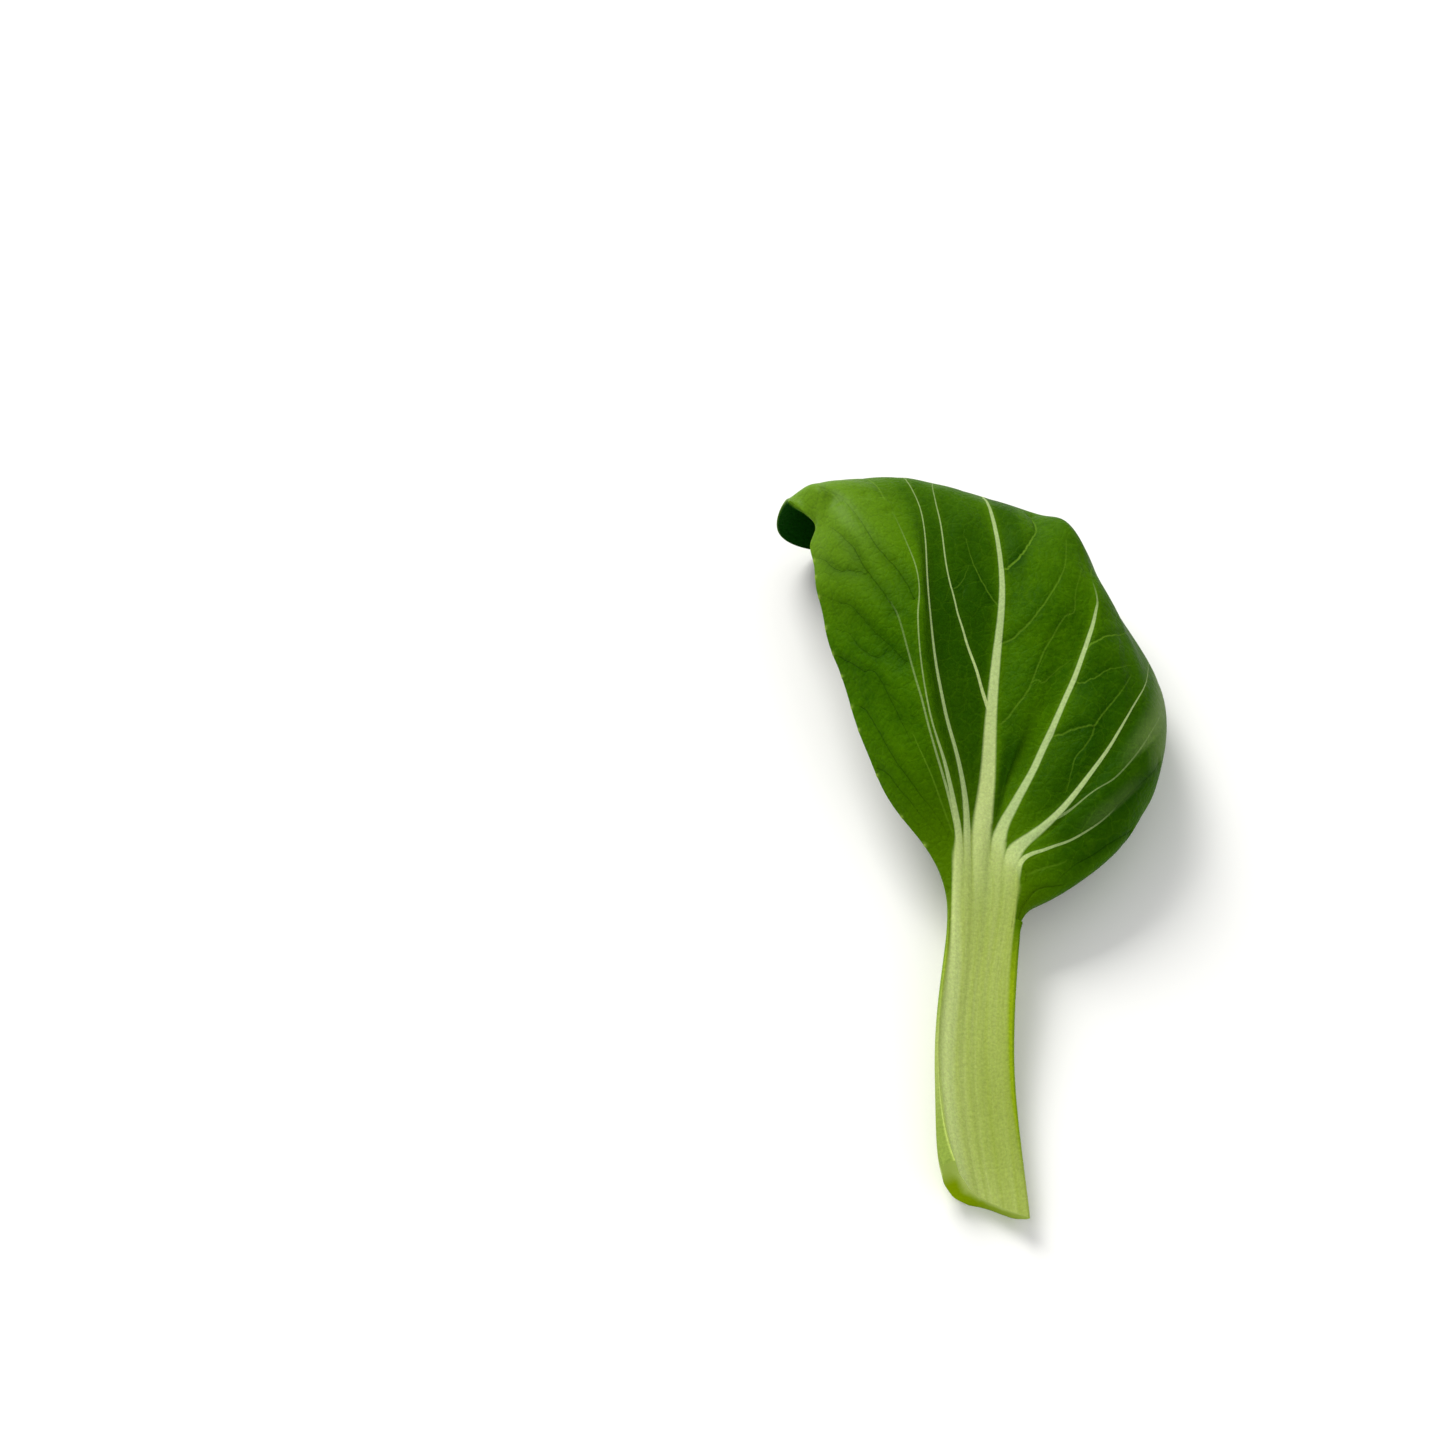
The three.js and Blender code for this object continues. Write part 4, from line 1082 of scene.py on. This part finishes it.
# Patches of the leaf where the look changes: a strength, then a ramp for each
# side, which names the map that it runs over, where it starts and where it is
# full, its two values if they aren't 0 and 1, and its ends if they are straight.
PATCHES = {
    # Lighter green at the rolled tip, partly painted light.
    "rolled tip": (0.75, ("along", 112, 146), ("across", 3.6, 1.0, 0.12, 1.0)),
    "near the stalk": (0.35, ("along", 108, 72)),
    "low flap": (0.22, ("across", 2.1, 1.2), ("along", 102, 92)),
    # Painted shade on the blade: the left valley, the belly, beside the midrib, below the top and at the
    # midrib's end.
    "left valley": (
        0.75, ("across", 2.4, 3.4), ("across", 5.4, 4.4), ("along", 92, 108, 0.65, 1.0, "LINEAR")),
    "belly": (0.65, ("across", 7.2, 8.7), ("across", 10.7, 9.9, 0.3, 1.0), ("along", 80, 94)),
    "beside the midrib": (0.75, ("across", 5.4, 6.0), ("across", 7.2, 6.6), ("along", 106, 94)),
    "below the top": (1.0, ("along", 158, 118)),
    "midrib's end": (0.55, ("across", 4.85, 5.2), ("across", 5.75, 5.4), ("along", 120, 132)),
    # Painted sheen on the panels to the right; the coat's wax follows it.
    "bloom before the third rib": (
        1.0, ("across", 8.72, 9.08), ("across", 9.3, 9.2, 0.0, 1.0, "LINEAR"), ("along", 110, 134)),
    "bloom before the fourth rib": (
        0.38, ("across", 9.45, 9.82), ("across", 9.92, 9.84, 0.0, 1.0, "LINEAR"),
        ("along", 93, 106), ("along", 126, 114, 0.2, 1.0)),
    "bloom at the edge": (0.8, ("across", 8.8, 9.1), ("across", 9.9, 9.4), ("along", 125, 134)),
    "pale foot of the margins": (0.92, ("along", 90, 66)),
    # A paler band on the stalk's left, brightened further with painted light.
    "left band": (0.9, ("across", -0.2, 0.8), ("across", 3.0, 2.0)),
    # Painted highlight on top of the left wall at the cut, and painted shade down its side.
    "wall at the cut": (0.95, ("across", 0.6, 0.3), ("along", 34, 12)),
    "low stalk": (0.35, ("along", 48, 20), ("across", 3.5, 6.5), ("along", 3, 12, 0.0, 1.0, "LINEAR")),
    # Painted shade inside the roll, on the back.
    "in the roll": (1.0, ("along", 128, 142)),
    "wax on the flap": (1.0, ("along", 126, 146), ("across", 2.6, 1.0, 0.15, 1.0)),
    # Painted shade on the cut end, deeper into the cut.
    "wet cut": (1.0, ("across", 4.0, 10.5, 1.0, 0.55, "LINEAR"), ("across", 0.2, 1.4, 0.15, 1.0)),
    "off the cut's corner": (1.0, ("across", 0.4, 1.6)),
}


def patch(tree, maps, name):
    """A named patch as a mask: its strength times the ramp of each of its sides."""
    share, *sides = PATCHES[name]
    for over, low, high, *more in sides:
        to_low, to_high, ends = more + [0.0, 1.0, "SMOOTHSTEP"][len(more):]
        share = product(tree, ramp(tree, maps[over], low, high, to_low, to_high, ends), share)
    return share


def tissue_maps(tree):
    """The leaf's own maps, its line masks and the noises that several parts share."""
    maps = {}
    for name in PLAIN_MAPS + ("underside", "cut"):
        maps[name] = node(tree, "ShaderNodeAttribute", attribute_name=name).outputs["Fac"]
    group = cord_mask_group()
    maps["ribs"] = cords(tree, group, "rib", 3, *RIB_LINE)[0]
    maps["veins"], maps["creases"] = cords(tree, group, "vein", 2, *VEIN_LINE)
    maps["pale"] = greatest(tree, maps["ribs"], maps["stalk"])
    place = own_place(tree)
    maps["grain"] = noise(tree, place, *GRAIN)["Fac"]
    maps["clouds"] = ramp(tree, noise(tree, place, *CLOUDS)["Fac"], *CLOUD_RANGE)
    maps["mottle"] = ramp(tree, noise(tree, place, *MOTTLE)["Fac"], *MOTTLE_RANGE)
    maps["net"] = small_net(tree)
    maps["bloom"] = bloom(tree, maps)
    maps["bands"], maps["threads"] = stalk_streaks(tree, maps)
    return maps


def small_net(tree):
    """The net of smallest veins: the walls of cells whose place is bent by noise."""
    place = own_place(tree)
    bent = node(tree, "ShaderNodeVectorMath", operation="MULTIPLY_ADD")
    feed(tree, bent.inputs[0], noise(tree, place, *NET_BENDS)["Color"])
    feed(tree, bent.inputs[1], (NET_BEND, NET_BEND, NET_BEND))
    feed(tree, bent.inputs[2], place)
    return ramp(tree, cell_walls(tree, bent.outputs[0], NET_SCALE), *NET_WALL)


def bloom(tree, maps):
    """A painted sheen, with wax in the coat, on the panels to the right, in patches and soft clouds."""
    patches = [patch(tree, maps, "bloom " + where) for where in (
        "before the third rib", "before the fourth rib", "at the edge")]
    return product(tree, greatest(tree, *patches), ramp(tree, maps["clouds"], *PAINTED_SHEEN_IN_CLOUDS))


def stalk_streaks(tree, maps):
    """Soft bands and fine threads that run along the stalk: noise stretched along it."""
    place = node(tree, "ShaderNodeCombineXYZ")
    feed(tree, place.inputs[0], maps["across"])
    feed(tree, place.inputs[1], product(tree, maps["along"], THREAD_STRETCH))
    bands = ramp(tree, noise(tree, place.outputs[0], *BANDS)["Fac"], *BAND_RANGE)
    threads = ramp(tree, noise(tree, place.outputs[0], *THREADS)["Fac"], *THREAD_RANGE)
    return bands, threads


def blade_painted_shade(tree, maps):
    """Painted shade on the blade: in its valleys below the top, at the midrib's end and beside the sunk
    veins.
    """
    valleys = [patch(tree, maps, name) for name in ("left valley", "belly", "beside the midrib")]
    shade = product(tree, greatest(tree, *valleys), patch(tree, maps, "below the top"))
    shade = greatest(tree, shade, patch(tree, maps, "midrib's end"))
    return calc(tree, "ADD", shade, maps["hollow_shade"], clamp=True)


def blade_ground(tree, maps):
    """The blade's greens: soft clouds and fine mottling, lighter at the rolled tip
    partly as painted light, yellower near the stalk and beside the ribs, lighter
    low on the flap, with painted shade in the valleys and a painted sheen to the right."""
    blade = mix_colour(tree, maps["clouds"], DEEP_GREEN, FRESH_GREEN)
    blade = mix_colour(tree, product(tree, maps["mottle"], MOTTLE_STRENGTH), blade, BRIGHT_GREEN)
    blade = mix_colour(tree, patch(tree, maps, "rolled tip"), blade, TIP_LIT_GREEN)
    blade = mix_colour(tree, patch(tree, maps, "near the stalk"), blade, YOUNG_GREEN)
    blade = mix_colour(tree, product(tree, maps["fringe"], HALO_STRENGTH), blade, YELLOW_GREEN)
    blade = mix_colour(tree, patch(tree, maps, "low flap"), blade, BRIGHT_GREEN)
    blade = mix_colour(tree, blade_painted_shade(tree, maps), blade, PAINTED_SHADE_GREEN)
    return mix_colour(tree, product(tree, maps["bloom"], PAINTED_SHEEN_STRENGTH), blade, PAINTED_SHEEN_GREEN)


def blade_veins(tree, maps, blade):
    """The blade with its net, which is lighter than it but on the flap dark with
    painted shade, and with its fine veins and the painted shade of its creases."""
    on_flap = ramp(tree, maps["across"], *ONTO_FLAP)
    net_colour = mix_colour(tree, on_flap, NET_LIGHT, NET_SHADOW_GREEN)
    blade = mix_colour(tree, product(tree, maps["net"], NET_STRENGTH), blade, net_colour)
    blade = mix_colour(tree, maps["veins"], blade, VEIN_GREEN)
    return mix_colour(tree, product(tree, maps["creases"], -1.0), blade, CREASE_SHADOW_GREEN)


def blade_margins(tree, maps, blade):
    """The blade with the pale foot of its margins, its thin rim and the dots on it.

    The foot is yellow green by the stalk and darkens towards the join, which the
    right margin reaches sooner."""
    to_right = ramp(tree, maps["across"], *TO_THE_RIGHT)
    side_colour = mix_colour(tree, to_right, LEFT_EDGE_GREEN, RIGHT_EDGE_GREEN)
    lead = product(tree, to_right, RIGHT_JOIN_LEAD)
    nearing_join = ramp(tree, total(tree, maps["along"], lead), *NEARING_JOIN)
    foot_colour = mix_colour(tree, nearing_join, side_colour, JOIN_GREEN)
    blade = mix_colour(tree, patch(tree, maps, "pale foot of the margins"), blade, foot_colour)
    rim = ramp(tree, off_line(tree, maps["underside"], RIM_MIDDLE), *ROUND_RIM)
    blade = mix_colour(tree, product(tree, rim, RIM_STRENGTH), blade, YELLOW_GREEN)
    return mix_colour(tree, product(tree, maps["dots"], DOT_STRENGTH), blade, DOT_GREEN)


def stalk_colour(tree, maps):
    """The stalk: pale green in soft long bands, paler on the left where painted light
    brightens it further, greener to the right and low down, with a painted highlight
    along the top of its left wall at the cut and painted shade down the wall's green side."""
    greener = ramp(tree, maps["across"], *STALK_GREENER)
    bands = calc(tree, "ADD", product(tree, maps["bands"], BAND_STRENGTH), greener, clamp=True)
    stalk = mix_colour(tree, bands, STALK_PALE, STALK_GREEN)
    stalk = mix_colour(tree, product(tree, maps["threads"], THREAD_STRENGTH), stalk, STALK_THREAD)
    stalk = mix_colour(tree, patch(tree, maps, "left band"), stalk, STALK_LIT_PALE)
    wall_light_and_shade = mix_colour(tree, ramp(tree, maps["underside"], *DOWN_THE_WALL), WALL_HIGHLIGHT, WALL_SIDE_SHADE)
    stalk = mix_colour(tree, patch(tree, maps, "wall at the cut"), stalk, wall_light_and_shade)
    return mix_colour(tree, patch(tree, maps, "low stalk"), stalk, STALK_LOW)


def rib_colour(tree, maps):
    """The ribs: light at their feet and duller up the blade; the side ribs dull sooner."""
    off_midrib = off_line(tree, maps["across"], MIDRIB_STRAND)
    side_rib = ramp(tree, off_midrib, *SIDE_RIBS_START)
    side_rib = product(tree, side_rib, ramp(tree, maps["along"], *SIDE_RIBS_DULL))
    age = greatest(tree, side_rib, ramp(tree, maps["along"], *RIBS_DULL))
    return mix_colour(tree, age, RIB_FOOT, RIB_PALE)


def face_colour(tree, maps):
    """The inner face: blade, then ribs, then the stalk, whose tissue runs on as the
    ribs with dark seams between them, all under a fine speckle."""
    blade = blade_veins(tree, maps, blade_ground(tree, maps))
    blade = blade_margins(tree, maps, blade)
    stalk = stalk_colour(tree, maps)
    colour = mix_colour(tree, maps["ribs"], blade, rib_colour(tree, maps))
    between_ribs = product(tree, rest(tree, maps["ribs"]), maps["stalk"])
    over_ribs = product(tree, rest(tree, product(tree, maps["ribs"], RIB_OVER_STALK)), maps["stalk"])
    colour = mix_colour(tree, between_ribs, colour, stalk)
    colour = mix_colour(tree, over_ribs, colour, stalk)
    colour = mix_colour(tree, product(tree, maps["seam"], SEAM_STRENGTH), colour, SEAM_GREEN)
    speckle = ramp(tree, maps["grain"], *SPECKLE)
    speckled = mix_colour(tree, 1.0, colour, speckle, blend="MULTIPLY")
    return mix_colour(tree, ramp(tree, maps["pale"], *SPECKLE_SHARE), colour, speckled)


def back_over(tree, maps, colour):
    """The colour with the leaf's back: paler and greyer, with painted shade inside the roll."""
    in_roll = patch(tree, maps, "in the roll")
    back_and_roll_shade = mix_colour(tree, in_roll, BACK_GREEN, ROLL_SHADOW_GREEN)
    strength = ramp(tree, in_roll, *BACK_STRENGTH)
    share = product(tree, maps["underside"], strength, rest(tree, maps["stalk"]))
    return mix_colour(tree, share, colour, back_and_roll_shade)


def cut_over(tree, maps, colour):
    """The colour with the cut end: painted shade in dark green that fades into pale
    tissue at its inner edge and to the right."""
    spots = noise(tree, own_place(tree), *SHADE_SPOTS_ON_CUT)["Fac"]
    depth = total(tree, maps["underside"], product(tree, spots, CUT_SHADE_SPOT_DEPTH))
    shaded = product(tree, ramp(tree, depth, *CUT_SHADE_DEPTH), patch(tree, maps, "wet cut"))
    pale_tissue = mix_colour(tree, patch(tree, maps, "off the cut's corner"), CUT_CORNER, CUT_LIGHT)
    return mix_colour(tree, maps["cut"], colour, mix_colour(tree, shaded, pale_tissue, CUT_SHADOW_GREEN))


def roughness(tree, maps):
    """How dull the tissue is: mottled on the blade, duller on pale parts and the back."""
    rough = ramp(tree, maps["mottle"], *BLADE_ROUGHNESS)
    rough = total(tree, rough, product(tree, maps["pale"], PALE_ROUGHER))
    return calc(tree, "ADD", rough, product(tree, maps["underside"], BACK_ROUGHER), clamp=True)


def wax(tree, maps):
    """Where wax lies on the inner face: on the flap's top and under the painted sheen."""
    on_face = greatest(tree, patch(tree, maps, "wax on the flap"), maps["bloom"])
    return product(tree, on_face, WAX, rest(tree, maps["underside"]))


def fine_relief(tree, maps):
    """The height of the fine relief: cells, quilting and grain, weaker on the pale
    parts, with the stalk's threads and raised ribs, and veins, creases and net sunk."""
    place = own_place(tree)
    cells = ramp(tree, cell_walls(tree, place, CELL_SCALE), *CELL_WALL)
    quilt = product(tree, noise(tree, place, *QUILT)["Fac"], QUILT_RELIEF)
    skin = total(tree, cells, quilt, product(tree, maps["grain"], GRAIN_RELIEF))
    return total(
        tree,
        product(tree, skin, ramp(tree, maps["pale"], *SKIN_RELIEF)),
        product(tree, maps["threads"], maps["stalk"], THREAD_RELIEF),
        product(tree, maps["ribs"], RIB_RELIEF),
        product(tree, maps["veins"], VEIN_RELIEF),
        product(tree, maps["creases"], CREASE_RELIEF),
        product(tree, maps["net"], ramp(tree, maps["pale"], *NET_RELIEF)),
    )


def leaf_material():
    """Fresh bok choy tissue: deep green blade, pale ribs and stalk, duller back."""
    material = bpy.data.materials.new("bok_choy_tissue")
    material.use_nodes = True
    tree = material.node_tree
    tree.nodes.clear()
    shader = node(tree, "ShaderNodeBsdfPrincipled")
    tree.links.new(shader.outputs[0], node(tree, "ShaderNodeOutputMaterial").inputs["Surface"])
    maps = tissue_maps(tree)
    bump = node(tree, "ShaderNodeBump")
    feed(tree, bump.inputs["Strength"], BUMP_STRENGTH)
    feed(tree, bump.inputs["Distance"], BUMP_HEIGHT)
    feed(tree, bump.inputs["Height"], fine_relief(tree, maps))
    settings = {
        "Base Color": cut_over(tree, maps, back_over(tree, maps, face_colour(tree, maps))),
        "Roughness": roughness(tree, maps),
        "Normal": bump.outputs["Normal"],
        "Subsurface Weight": 0.08,
        "Subsurface Radius": (0.6, 1.0, 0.25),
        "Subsurface Scale": 0.0012,
        "Specular IOR Level": 0.008,
        "Coat Weight": wax(tree, maps),
        "Coat Roughness": 0.45,
        "Coat IOR": 1.4,
    }
    for name, value in settings.items():
        feed(tree, shader.inputs[name], value)
    return material


# ------------------------------------------------------------------- the scene

CAMERA_PLACE = (-0.05247, -0.45663, 0.7022)
CAMERA_ELEVATION = 55.0
LEAF_CENTRE = (0.0, 0.0, 0.015)
FLOOR_HALF = 3.0
WORLD_STRENGTH = 0.62


def floor_piece():
    """A plain pale floor: one wide square at height 0."""
    mesh = bpy.data.meshes.new("floor")
    corners = [(x * FLOOR_HALF, y * FLOOR_HALF, 0.0) for x, y in ((-1, -1), (1, -1), (1, 1), (-1, 1))]
    mesh.from_pydata(corners, [], [(0, 1, 2, 3)])
    material = bpy.data.materials.new("pale_floor")
    material.use_nodes = True
    shader = material.node_tree.nodes["Principled BSDF"]
    shader.inputs["Base Color"].default_value = linear(243, 243, 241)
    shader.inputs["Roughness"].default_value = 0.75
    mesh.materials.append(material)
    return in_scene("floor", mesh)


def area_light(name, place, size, power, colour):
    """A square soft light at a place, turned to the leaf."""
    data = bpy.data.lights.new(name, "AREA")
    data.size = size
    data.energy = power
    data.color = colour
    lamp = in_scene(name, data)
    lamp.location = place
    x, y, z = np.array(LEAF_CENTRE) - np.array(place)
    lamp.rotation_euler = (math.atan2(math.hypot(x, y), -z), 0.0, math.atan2(-x, y))


def camera_piece():
    """The camera: 55 degrees above the floor, square to the stalk."""
    data = bpy.data.cameras.new("camera")
    data.lens = 100.0
    data.sensor_width = 36.0
    data.clip_start = 0.01
    camera = in_scene("camera", data)
    camera.location = CAMERA_PLACE
    camera.rotation_euler = (math.radians(90.0 - CAMERA_ELEVATION), 0.0, 0.0)
    bpy.context.scene.camera = camera


def white_world():
    """Plain white light from all round."""
    world = bpy.data.worlds.new("studio")
    world.use_nodes = True
    background = world.node_tree.nodes["Background"]
    background.inputs["Color"].default_value = (1.0, 1.0, 1.0, 1.0)
    background.inputs["Strength"].default_value = WORLD_STRENGTH
    bpy.context.scene.world = world
    bpy.context.scene.view_settings.view_transform = "Standard"


camera_piece()

leaf = leaf_piece()
leaf.data.materials.append(leaf_material())
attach(leaf, "root")
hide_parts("leaf")

floor_piece()

area_light("key", (-0.5, 0.85, 0.8), 0.7, 16.0, (1.0, 0.99, 0.96))
area_light("fill", (0.5, -0.9, 0.6), 0.9, 3.0, (0.97, 0.98, 1.0))
white_world()
